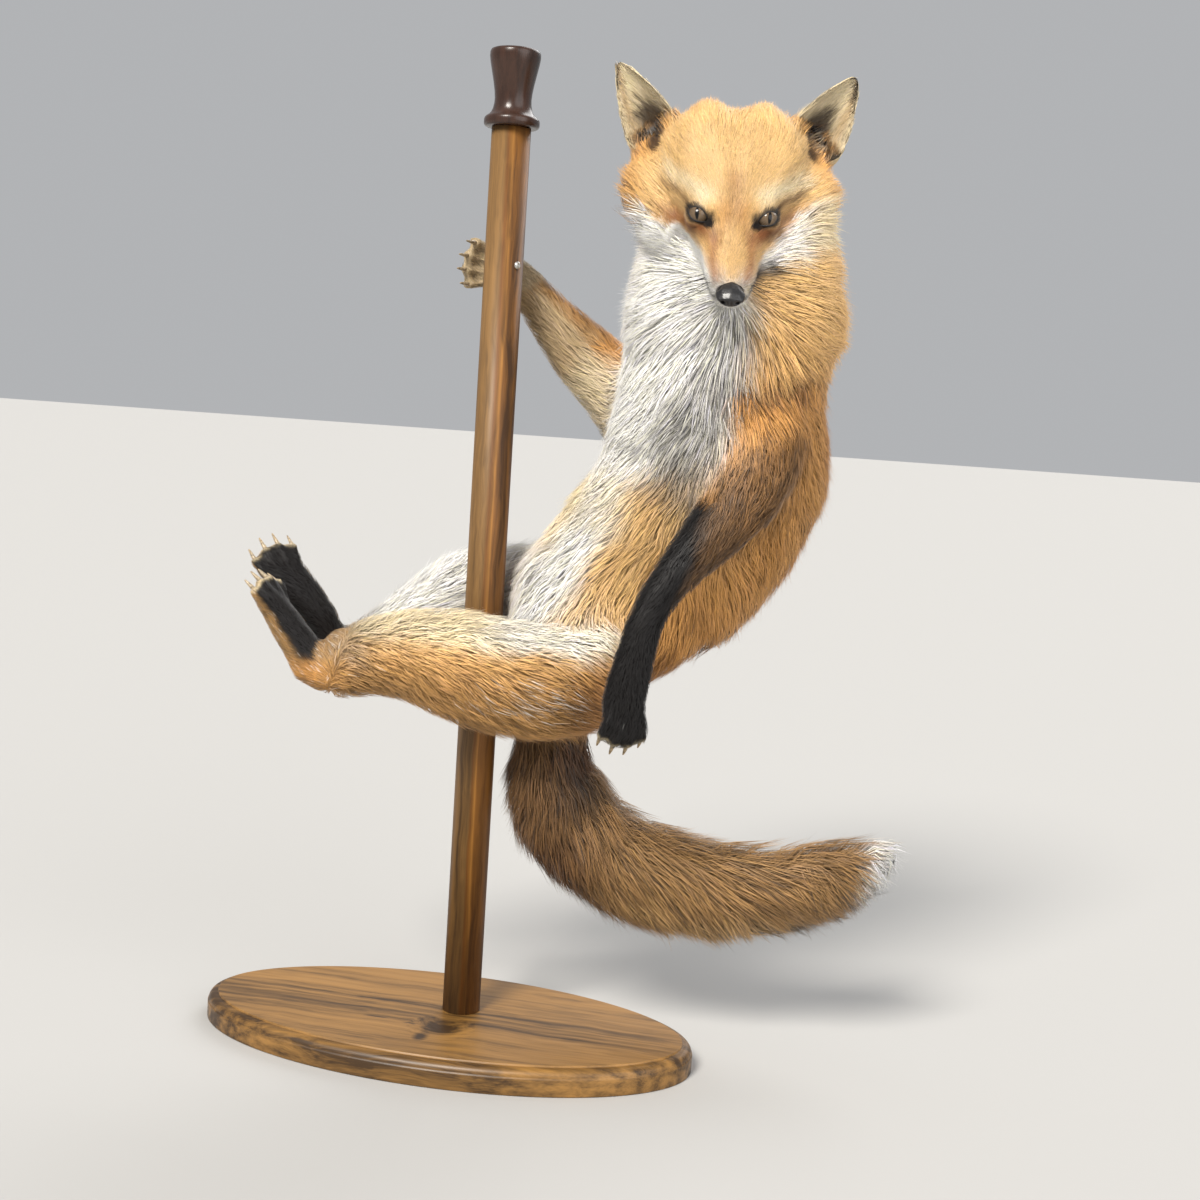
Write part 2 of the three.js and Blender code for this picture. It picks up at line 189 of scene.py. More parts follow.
def linear(code):
    """An sRGB hex colour as linear red, green and blue."""
    parts = [int(code.lstrip("#")[i : i + 2], 16) / 255 for i in (0, 2, 4)]
    return np.array([c / 12.92 if c <= 0.04045 else ((c + 0.055) / 1.055) ** 2.4 for c in parts])


# ---------------------------------------------------------------- what a user would change
def colour_of(name, what, code):
    return bpy.props.FloatVectorProperty(
        name=name, description=what, subtype="COLOR", size=3, min=0, max=1, default=tuple(linear(code))
    )


class FoxCoat(bpy.types.PropertyGroup):
    """The sizes and colours of the skin and the coat."""

    voxel: bpy.props.FloatProperty(
        name="Skin grain", description="Size of the cells that the skin is first built from",
        default=0.0016, min=0.001, max=0.004, unit="LENGTH",
    )
    fullness: bpy.props.FloatProperty(
        name="Fullness", description="How many locks there are, as a share of the full coat",
        default=1.0, min=0.05, max=1.0, subtype="FACTOR",
    )
    orange: colour_of("Orange", "Flanks, shoulders and ruff", "#D79A52")
    rust: colour_of("Rust", "Back, and patches under the eyes", "#955A2E")
    gold: colour_of("Gold", "Forehead, haunches and the muzzle's top", "#E8BD7E")
    cream: colour_of("Cream", "Belly, and spots above the eyes", "#EEDAB2")
    white: colour_of("White", "Throat, chest, inner thighs and the tail's tip", "#F2F0EA")
    tan: colour_of("Tan", "Tail and the outside of the feet", "#B28A56")
    brown: colour_of("Brown", "Dark hairs of the tail and haunches", "#5E3D22")
    black: colour_of("Black", "Legs, and the backs of the ears", "#120E0E")
    grey: colour_of("Grey", "Underfur and the grizzled chest", "#86817A")


class FoxStand(bpy.types.PropertyGroup):
    """The sizes and colours of the pole and its base."""

    sides: bpy.props.IntProperty(
        name="Sides", description="How many flats a turned piece has", default=96, min=24, max=256
    )
    pale_wood: colour_of("Pale wood", "The wood between its dark lines", "#8A6534")
    dark_wood: colour_of("Dark wood", "The stain in the wood's pores and knots", "#3C2913")
    walnut: colour_of("Finial", "The dark turned finial", "#3A261D")
    steel: colour_of("Steel", "The screw's head", "#C9C7C2")
    horn: colour_of("Horn", "The claws", "#9C8B70")
    iris: colour_of("Iris", "The glass eyes", "#6A5844")


# ---------------------------------------------------------------- nodes and materials
def add(tree, kind, inputs=None, **settings):
    """Adds a node with its settings. An input is a value, or a socket to link it to."""
    node = tree.nodes.new(kind)
    for name, value in settings.items():
        setattr(node, name, value)
    for name, value in (inputs or {}).items():
        if isinstance(value, bpy.types.NodeSocket):
            tree.links.new(value, node.inputs[name])
        else:
            node.inputs[name].default_value = value
    return node


def new_material(name):
    material = bpy.data.materials.new(name)
    material.use_nodes = True
    material.node_tree.nodes.clear()
    return material, material.node_tree


def surfaced(material, inputs):
    """Gives the material a surface with those inputs."""
    shader = add(material.node_tree, "ShaderNodeBsdfPrincipled", inputs)
    add(material.node_tree, "ShaderNodeOutputMaterial", {"Surface": shader.outputs[0]})
    return material


def rgba(colour):
    return (*colour, 1.0)


def object_place(tree):
    return add(tree, "ShaderNodeTexCoord").outputs["Object"]


def coat_colour(tree):
    return add(tree, "ShaderNodeAttribute", attribute_name="coat_colour").outputs["Color"]


def clouds(tree, place, scale, detail=2.0):
    """Soft noise from 0 to 1."""
    return add(tree, "ShaderNodeTexNoise", {"Vector": place, "Scale": scale, "Detail": detail}).outputs[0]


def cells(tree, place, scale):
    """The distance to the nearest of some scattered points."""
    return add(tree, "ShaderNodeTexVoronoi", {"Vector": place, "Scale": scale}).outputs[0]


def remap(tree, value, low, high, at_low=0.0, at_high=1.0):
    """Takes low to high onto at_low to at_high, which hold beyond them."""
    inputs = {"Value": value, "From Min": low, "From Max": high, "To Min": at_low, "To Max": at_high}
    return add(tree, "ShaderNodeMapRange", inputs).outputs[0]


def calc(tree, operation, *values):
    return add(tree, "ShaderNodeMath", dict(enumerate(values)), operation=operation).outputs[0]


def vector_calc(tree, operation, *values):
    """The result is a number where it is a length or a distance."""
    node = add(tree, "ShaderNodeVectorMath", dict(enumerate(values)), operation=operation)
    return node.outputs["Value" if operation in ("LENGTH", "DISTANCE") else "Vector"]


def scaled(tree, colour, factor):
    return add(tree, "ShaderNodeVectorMath", {0: colour, "Scale": factor}, operation="SCALE").outputs[0]


def bumped(tree, height, strength, depth, **settings):
    inputs = {"Height": height, "Strength": strength, "Distance": depth}
    return add(tree, "ShaderNodeBump", inputs, **settings).outputs[0]


def ramp(tree, factor, *stops):
    """A colour ramp. Each stop is a place from 0 to 1 and a linear colour."""
    node = add(tree, "ShaderNodeValToRGB", {"Fac": factor})
    elements = node.color_ramp.elements
    while len(elements) < len(stops):
        elements.new(0.5)
    for element, (place, colour) in zip(elements, stops):
        element.position = place
        element.color = rgba(colour)
    return node.outputs["Color"]


def fur_material():
    """Guard hair: its cuticle throws a soft, broad sheen along each lock, and no sharp highlight."""
    material, tree = new_material("fox_guard_hair")
    streaks = clouds(tree, object_place(tree), 1400.0)
    shade = remap(tree, streaks, 0.3, 0.7, 0.82, 1.16)
    return surfaced(material, {
        "Base Color": scaled(tree, coat_colour(tree), shade), "Roughness": 0.52,
        "Specular IOR Level": 0.35, "Sheen Weight": 0.12, "Sheen Roughness": 0.5,
    })


def hide_material():
    """Tanned hide under the hair: matt, with the grain of the hair's roots, about 0.8 mm apart."""
    material, tree = new_material("fox_tanned_hide")
    roots = cells(tree, object_place(tree), 1250.0)
    shade = remap(tree, roots, 0.0, 0.8, 0.55, 1.0)
    return surfaced(material, {
        "Base Color": scaled(tree, coat_colour(tree), shade), "Roughness": 0.8,
        "Specular IOR Level": 0.2, "Normal": bumped(tree, roots, 0.5, 0.0006),
    })


def wood_material(name, grain, pale, dark, gloss, knots=(), stripe_x=None, edge=None):
    """Stained and oiled softwood: fine dark pores along the grain, broad streaks of stain, a satin gloss.

    Grain is how many times longer the figure is along each axis. Each knot or crack is a place and a size
    in metres. Round the place given across x, the pole takes a painted bluish sheen, a redder stripe and a
    painted highlight line. Below z = edge the wood is darker."""
    material, tree = new_material(name)
    place = object_place(tree)
    wander = add(tree, "ShaderNodeTexNoise", {"Vector": place, "Scale": 14.0, "Detail": 2.0})
    bent = vector_calc(tree, "MULTIPLY_ADD", wander.outputs["Color"], (0.012,) * 3, place)
    for at, _ in knots[:1]:  # the grain flows round the biggest knot
        pull = remap(tree, vector_calc(tree, "DISTANCE", place, at), 0.0, 0.03, 0.016, 0.0)
        bent = vector_calc(tree, "ADD", bent, pull)
    stretch = tuple(1 / g for g in grain)
    drawn = add(tree, "ShaderNodeMapping", {"Vector": bent, "Scale": stretch}).outputs[0]
    pores = clouds(tree, drawn, 900.0, 3.0)
    figure = clouds(tree, drawn, 170.0, 3.0)
    stain = clouds(tree, drawn, 45.0)
    shade = 0.0
    for layer, share in ((figure, 0.55), (pores, 0.22), (stain, 0.6)):
        shade = calc(tree, "MULTIPLY_ADD", layer, share, shade)
    for at, size in knots:
        away = vector_calc(tree, "DIVIDE", vector_calc(tree, "SUBTRACT", place, at), size)
        knot = remap(tree, vector_calc(tree, "LENGTH", away), 0.3, 1.0, -0.3, 0.0)
        shade = calc(tree, "ADD", shade, knot)
    if edge is not None:
        height = add(tree, "ShaderNodeSeparateXYZ", {0: place}).outputs["Z"]
        shade = calc(tree, "ADD", shade, remap(tree, height, edge - 0.5 * MM, edge, -0.11, 0.0))
    colour = ramp(tree, shade, (0.48, dark), (0.62, blend(dark, pale, 0.6)), (0.72, pale),
                  (0.86, pale * 1.25))
    # painted sheen and highlight bands across the pole, with a redder stripe between them
    if stripe_x is not None:
        colour = vector_calc(tree, "MULTIPLY", colour, stripe_and_sheen_tint(tree, place, stain, stripe_x))
    return surfaced(material, {
        "Base Color": colour, "Roughness": remap(tree, figure, 0.3, 0.7, gloss + 0.08, gloss - 0.06),
        "Normal": bumped(tree, shade, 0.35, 0.0006), "Coat Weight": 0.12, "Coat Roughness": 0.3,
        "Specular IOR Level": 0.35,
    })


def stripe_and_sheen_tint(tree, place, stain, stripe_x):
    """Bands across the round pole in x: a painted bluish sheen, a darker and redder stripe, a painted
    highlight line, and a redder edge.
    """
    across = add(tree, "ShaderNodeSeparateXYZ", {0: place}).outputs["X"]
    across = calc(tree, "MULTIPLY_ADD", stain, 0.012, across)
    # painted light: the first tint is a bluish sheen and the fourth a highlight line; the others are the
    # wood's redder stripe
    tints = [(0.0, (1.0, 1.03, 1.2)), (0.3, (0.8, 0.6, 0.42)), (0.55, (1.0, 0.84, 0.6)),
             (0.68, (1.5, 1.3, 1.0)), (0.8, (0.95, 0.75, 0.5))]
    return ramp(tree, remap(tree, across, stripe_x + 4 * MM, stripe_x + 13 * MM), *tints)


def horn_material(colour):
    """Claw horn: darker and paler in soft bands of noise, and a little waxy."""
    material, tree = new_material("claw_keratin")
    bands = clouds(tree, object_place(tree), 500.0, 3.0)
    shade = ramp(tree, bands, (0.35, colour * 0.5), (0.5, colour), (0.7, colour * 1.3))
    return surfaced(material, {
        "Base Color": shade, "Roughness": 0.34, "Normal": bumped(tree, bands, 0.25, 0.0003),
        "Subsurface Weight": 0.15, "Subsurface Radius": (0.002, 0.0015, 0.001), "Subsurface Scale": 1.0,
    })


def wet_leather_material(name, scale, rough, film):
    """Bare black skin: small pebbles under a moist film, so it glints in many points."""
    material, tree = new_material(name)
    pebbles = cells(tree, object_place(tree), scale)
    shade = ramp(tree, pebbles, (0.0, linear("#1D1B1D")), (0.6, linear("#0B0A0C")))
    return surfaced(material, {
        "Base Color": shade, "Roughness": rough, "Normal": bumped(tree, pebbles, 0.35, 0.0004, invert=True),
        "Coat Weight": film, "Coat Roughness": 0.14,
    })


def eye_material(iris):
    """A glass eye: an iris painted behind a clear dome, with an upright slit for its pupil."""
    material, tree = new_material("glass_eye")
    place = add(tree, "ShaderNodeAttribute", attribute_name="eye_place").outputs["Vector"]
    flat = vector_calc(tree, "MULTIPLY", place, (1, 1, 0))
    ringed = ramp(tree, vector_calc(tree, "LENGTH", flat), (0.1, iris * 0.6), (0.3, iris),
                  (0.6, iris * 0.85), (0.76, iris * 0.45), (0.86, linear("#0B0908")))
    fibres = clouds(tree, vector_calc(tree, "NORMALIZE", flat), 9.0, 4.0)
    painted = scaled(tree, ringed, remap(tree, fibres, 0.3, 0.7, 0.65, 1.25))
    slit_half = (0.15, 0.5)
    slit = vector_calc(tree, "MULTIPLY", flat, (1 / slit_half[0], 1 / slit_half[1], 0))
    outside = remap(tree, vector_calc(tree, "LENGTH", slit), 0.85, 1.15)
    return surfaced(material, {
        "Base Color": scaled(tree, painted, outside), "Roughness": 0.4, "Specular IOR Level": 0.1,
        "Coat Weight": 0.5, "Coat Roughness": 0.02, "Coat IOR": 1.5,
    })


def steel_material(colour):
    """Zinc-plated steel: bright, with fine turning marks."""
    material, tree = new_material("zinc_plated_steel")
    marks = clouds(tree, object_place(tree), 2500.0)
    return surfaced(material, {
        "Base Color": rgba(colour), "Metallic": 1.0, "Roughness": remap(tree, marks, 0.0, 1.0, 0.2, 0.36),
    })


def whisker_material():
    """A whisker: one thick black bristle with a waxy shine."""
    material, _ = new_material("whisker_bristle")
    return surfaced(material, {"Base Color": rgba(linear("#1A1513")), "Roughness": 0.38})


# ---------------------------------------------------------------- meshes
def link(obj, material):
    bpy.context.scene.collection.objects.link(obj)
    obj.data.materials.append(material)
    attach(obj, "root")
    return obj


def mesh_of(name, points, faces):
    """A smooth mesh of triangles from arrays."""
    mesh = bpy.data.meshes.new(name)
    mesh.vertices.add(len(points))
    mesh.vertices.foreach_set("co", np.ascontiguousarray(points, np.float32).ravel())
    mesh.loops.add(faces.size)
    mesh.loops.foreach_set("vertex_index", np.ascontiguousarray(faces, np.int32).ravel())
    mesh.polygons.add(len(faces))
    mesh.polygons.foreach_set("loop_start", np.arange(0, faces.size, 3, dtype=np.int32))
    mesh.polygons.foreach_set("use_smooth", np.full(len(faces), True))
    mesh.update(calc_edges=True)
    return mesh


def paint(mesh, colours):
    attribute = mesh.attributes.new("coat_colour", "FLOAT_COLOR", "POINT")
    values = np.ones((len(colours), 4), np.float32)
    values[:, :3] = colours
    attribute.data.foreach_set("color", values.ravel())


def mesh_from(bm, name):
    """Turns the bmesh into a mesh, and frees it."""
    mesh = bpy.data.meshes.new(name)
    bm.to_mesh(mesh)
    bm.free()
    return mesh


def object_from(bm, name, material):
    """Makes the bmesh a smooth piece that rides on the part, with its faces outwards."""
    bmesh.ops.recalc_face_normals(bm, faces=bm.faces)
    for face in bm.faces:
        face.smooth = True
    return link(bpy.data.objects.new(name, mesh_from(bm, name)), material)


def blank_of(data):
    """A passing object, for a modifier or a curve to work on."""
    blank = bpy.data.objects.new("blank", data)
    bpy.context.scene.collection.objects.link(blank)
    return blank


def worked(blank):
    """The passing object's mesh with its modifiers applied. The object is gone afterwards."""
    bpy.context.view_layer.update()
    graph = bpy.context.evaluated_depsgraph_get()
    mesh = bpy.data.meshes.new_from_object(blank.evaluated_get(graph))
    bpy.data.objects.remove(blank)
    return mesh


def remeshed(mesh, cell):
    """The mesh as one closed surface, built from cells of that size."""
    blank = blank_of(mesh)
    remesh = blank.modifiers.new("one surface", "REMESH")
    remesh.mode = "VOXEL"
    remesh.voxel_size = cell
    return worked(blank)


def turned(profile, steps, stretch=1.0):
    """A bmesh of a profile, as radius and height in mm, turned round the upright axis."""
    bm = bmesh.new()
    verts = [bm.verts.new((radius * MM, 0, height * MM * stretch)) for radius, height in profile]
    edges = [bm.edges.new(pair) for pair in zip(verts, verts[1:])]
    bmesh.ops.spin(bm, geom=verts + edges, axis=(0, 0, 1), cent=(0, 0, 0), steps=steps,
                   angle=2 * math.pi, use_merge=True)
    bmesh.ops.remove_doubles(bm, verts=bm.verts, dist=1e-6)
    return bm


def smooth_surface(piece, levels):
    subdivide = piece.modifiers.new("smooth", "SUBSURF")
    subdivide.levels = subdivide.render_levels = levels


def flat_ends(piece):
    """Keeps the big flat ends flat where the rest is shaded smooth."""
    for face in piece.data.polygons:
        face.use_smooth = len(face.vertices) == 4


def corners_of(mesh):
    points = np.empty(len(mesh.vertices) * 3, np.float32)
    mesh.vertices.foreach_get("co", points)
    return points.reshape(-1, 3).astype(float)


def triangles_of(mesh):
    mesh.calc_loop_triangles()
    faces = np.empty(len(mesh.loop_triangles) * 3, np.int32)
    mesh.loop_triangles.foreach_get("vertices", faces)
    return faces.reshape(-1, 3)


def point_normals(points, faces):
    a, b, c = (points[faces[:, i]] for i in range(3))
    flat = np.cross(b - a, c - a)
    total = np.zeros_like(points)
    for i in range(3):
        for axis in range(3):
            total[:, axis] += np.bincount(faces[:, i], flat[:, axis], len(points))
    return unit(total)


def loop_of(bm, points):
    """A closed ring of edges through those points."""
    verts = [bm.verts.new(point) for point in points]
    return [bm.edges.new((verts[i - 1], verts[i])) for i in range(len(verts))]


def tree_of(points, faces):
    return BVHTree.FromPolygons(points.tolist(), faces.tolist(), all_triangles=True)


def merged(node):
    """A CAD node as a bmesh whose corners are joined."""
    bm = bmesh.new()
    bm.from_mesh(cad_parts[node].data)
    bmesh.ops.remove_doubles(bm, verts=bm.verts, dist=1e-5)
    bm.normal_update()
    return bm


def without_hollows(mesh):
    """Keeps the outer surface alone, because the cuts between parts can leave closed hollows."""
    edges = np.empty(len(mesh.edges) * 2, np.int32)
    mesh.edges.foreach_get("vertices", edges)
    edges = edges.reshape(-1, 2)
    group = np.arange(len(mesh.vertices))
    while True:
        low = group[edges].min(axis=1)
        joined = group.copy()
        for end in (0, 1):
            np.minimum.at(joined, edges[:, end], low)
        joined = joined[joined]
        if (joined == group).all():
            break
        group = joined
    biggest = np.bincount(group).argmax()
    bm = bmesh.new()
    bm.from_mesh(mesh)
    bm.verts.ensure_lookup_table()
    inner = [bm.verts[i] for i in np.flatnonzero(group != biggest)]
    bmesh.ops.delete(bm, geom=inner, context="VERTS")
    bm.to_mesh(mesh)
    bm.free()
    return mesh


# ---------------------------------------------------------------- the eyes' place
class Eye:
    """One eye: where it is, where it looks, and how its lids slant."""

    SLANT = math.radians(30)  # the outer corner is the higher one
    CORNER = math.radians(68)  # from the middle of the opening to a corner
    UPPER = math.radians(25)  # up to the upper lid
    LOWER = math.radians(34)
    POINTED = 1.45  # 2 would make the opening an oval

    def __init__(self, side):
        self.name = side
        self.sign = SIDES[side]
        self.middle = middle(f"{side}_eye")
        low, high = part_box(f"{side}_eye")
        self.radius = float(high.z - low.z) / 2
        self.gaze = fox(0.2 * self.sign, -0.96, 0.12)
        outward = unit(fox(self.sign, 0, 0) - self.gaze * (fox(self.sign, 0, 0) @ self.gaze))
        upward = unit(np.array([0, 0, 1.0]) - self.gaze * self.gaze[2])
        self.corner = math.cos(self.SLANT) * outward + math.sin(self.SLANT) * upward
        self.lid = -math.sin(self.SLANT) * outward + math.cos(self.SLANT) * upward

    def dome(self, ahead):
        """The ball's radius at the cosine of the angle from where it looks: the cornea stands out."""
        return self.radius * (1 + 0.07 * step(0.72, 0.98, ahead))

    def place(self, points):
        """Distance from the eye's middle, and how far out of the opening: 1 is at the lids' edge."""
        ways = points - self.middle
        far = np.linalg.norm(ways, axis=-1)
        ways = ways / np.maximum(far, 1e-9)[..., None]
        angle = np.arccos(np.clip(ways @ self.gaze, -1, 1))
        across, along = ways @ self.corner, ways @ self.lid
        flat = np.maximum(np.hypot(across, along), 1e-9)
        lid = np.where(along > 0, self.UPPER, self.LOWER)
        out = np.abs(across / flat * angle / self.CORNER) ** self.POINTED
        out += np.abs(along / flat * angle / lid) ** self.POINTED
        return far, out ** (1 / self.POINTED)

    def ring(self, share, height, count):
        """Points round the opening, at that share of its size and that height over the ball."""
        turn = np.arange(count) * 2 * math.pi / count
        c, s = np.cos(turn), np.sin(turn)
        lid = np.where(s > 0, self.UPPER, self.LOWER)
        reach = (np.abs(c) / self.CORNER) ** self.POINTED + (np.abs(s) / lid) ** self.POINTED
        angle = (share * reach ** (-1 / self.POINTED))[:, None]
        sideways = c[:, None] * self.corner + s[:, None] * self.lid
        radius = self.dome(np.cos(angle)) + height
        return self.middle + radius * (np.cos(angle) * self.gaze + np.sin(angle) * sideways)


EYES = [Eye(side) for side in SIDES]


# ---------------------------------------------------------------- how the coat lies
# Each part of the body: how deep the skin lies under the coat's tips, and a lock's length and width, in mm.
COAT = {
    "neck": (15, 38, 0.95), "chest": (13, 30, 0.9), "belly": (12, 28, 0.9), "rump": (11, 26, 0.9),
    "head": (5, 12, 0.6), "left_ear": (1.2, 6, 0.5), "right_ear": (1.2, 6, 0.5),
    "tail_root": (22, 44, 1.0), "tail_middle": (27, 52, 1.05), "tail_tip": (22, 50, 1.0),
    "left_thigh": (11, 22, 0.85), "left_shin": (8, 19, 0.8), "left_hind_paw": (2.4, 7, 0.55),
    "right_thigh": (10, 28, 0.9), "right_shin": (7, 24, 0.85), "right_hind_paw": (2.4, 7, 0.55),
    "left_upper_arm": (8, 20, 0.85), "left_forearm": (4, 13, 0.65), "left_fore_paw": (2.6, 8, 0.55),
    "right_upper_arm": (9, 22, 0.85), "right_forearm": (6, 18, 0.75), "right_fore_paw": (1.4, 4, 0.5),
}
CHAINS = [
    "head neck chest belly rump tail_root tail_middle tail_tip".split(),
    "rump left_thigh left_shin left_hind_paw left_hind_claw_2".split(),
    "rump right_thigh right_shin right_hind_paw right_hind_claw_2".split(),
    "chest left_upper_arm left_forearm left_fore_paw left_fore_claw_2".split(),
    "chest right_upper_arm right_forearm right_fore_paw right_fore_claw_2".split(),
]
# Places on the head, in its axes in mm, and on both sides of it.
EAR_HOLLOW = [(62, -62, 24), (63, -78, 25), (65, -92, 30)]
MOUTH = [(0, 69, -37), (10, 66, -34), (17, 50, -30), (26, 31, -26)]
NOSE_TIP = (0, 74, -26)
CHIN = (0, 48, -36)
# The way that the white side of each part faces, in the fox's axes.
PALE_SIDE = {
    "neck": (-0.55, -0.83, 0), "chest": (-0.75, -0.66, 0), "belly": (-0.85, -0.5, 0.2),
    "rump": (-0.85, -0.3, 0.45), "head": (0, -0.5, -0.85),
    "left_ear": (0.35, -1, 0), "right_ear": (-0.35, -1, 0),
    "tail_root": (0.3, 0, -1), "tail_middle": (0, 0, -1), "tail_tip": (0, 0, -1),
    "left_thigh": (-0.25, 0.3, 0.9), "left_shin": (-0.2, 0.2, 0.95), "left_hind_paw": (0.85, -0.35, 0.3),
    "right_thigh": (-0.2, -0.6, 0.75), "right_shin": (-0.2, -0.6, 0.75),
    "right_hind_paw": (0.45, -0.9, 0.2),
    "left_upper_arm": (-1, -0.2, -0.1), "left_forearm": (-1, 0, 0), "left_fore_paw": (0.25, -1, 0),
    "right_upper_arm": (-0.3, -0.5, -0.8), "right_forearm": (-0.2, -0.6, -0.7),
    "right_fore_paw": (-0.3, 1, 0.1),
}


def pale_edge(z):
    """How far left the chest's and belly's pale side reaches, at each height, in mm."""
    return np.interp(z, [393, 431, 466, 482, 506, 539, 571], [125, 138, 158, 170, 180, 184, 184])


def ear_place(points, name, sign):
    """Where points are on an ear: from -1 at its edge by the crown to 1 at its outer edge, and up it."""
    x = in_fox_mm(points)[:, 0]
    low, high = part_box(f"{name}_ear")
    up = (points[:, 2] - low.z) / (high.z - low.z)
    foot, tip = (117, 82) if sign < 0 else (240, 270)  # how far left its foot and its tip are, in mm
    return sign * (x - (foot + (tip - foot) * up)) / (4 + 21 * (1 - up)), up


def table(rows):
    return np.array([rows[name] for name in FLESH], float)


def lie_of_parts():
    """The way the hair lies on each part: from the middle of the part before it to that of the next."""
    ways = np.zeros((len(FLESH), 3))
    for chain in CHAINS:
        for i, name in enumerate(chain):
            if name not in REGION or i == 0:
                continue
            after = chain[min(i + 1, len(chain) - 1)]
            ways[REGION[name]] = unit(middle(after) - middle(chain[i - 1]))
    ways[REGION["tail_tip"]] = unit(middle("tail_tip") - middle("tail_middle"))
    # On the hind legs the hair was laid back towards the body.
    for side, up in (("left", -0.45), ("right", 0.35)):
        ways[REGION[f"{side}_thigh"]] = unit(fox(0.85, 0, up))
        ways[REGION[f"{side}_shin"]] = unit(fox(0.9, 0, 0.7 * up))
    for side in SIDES:
        low, high = (np.array(corner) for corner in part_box(f"{side}_ear"))
        tip = np.array([low[0] if side == "right" else high[0], middle(f"{side}_ear")[1], high[2]])
        ways[REGION[f"{side}_ear"]] = unit(tip - np.array([*middle(f"{side}_ear")[:2], low[2]]))
    return ways


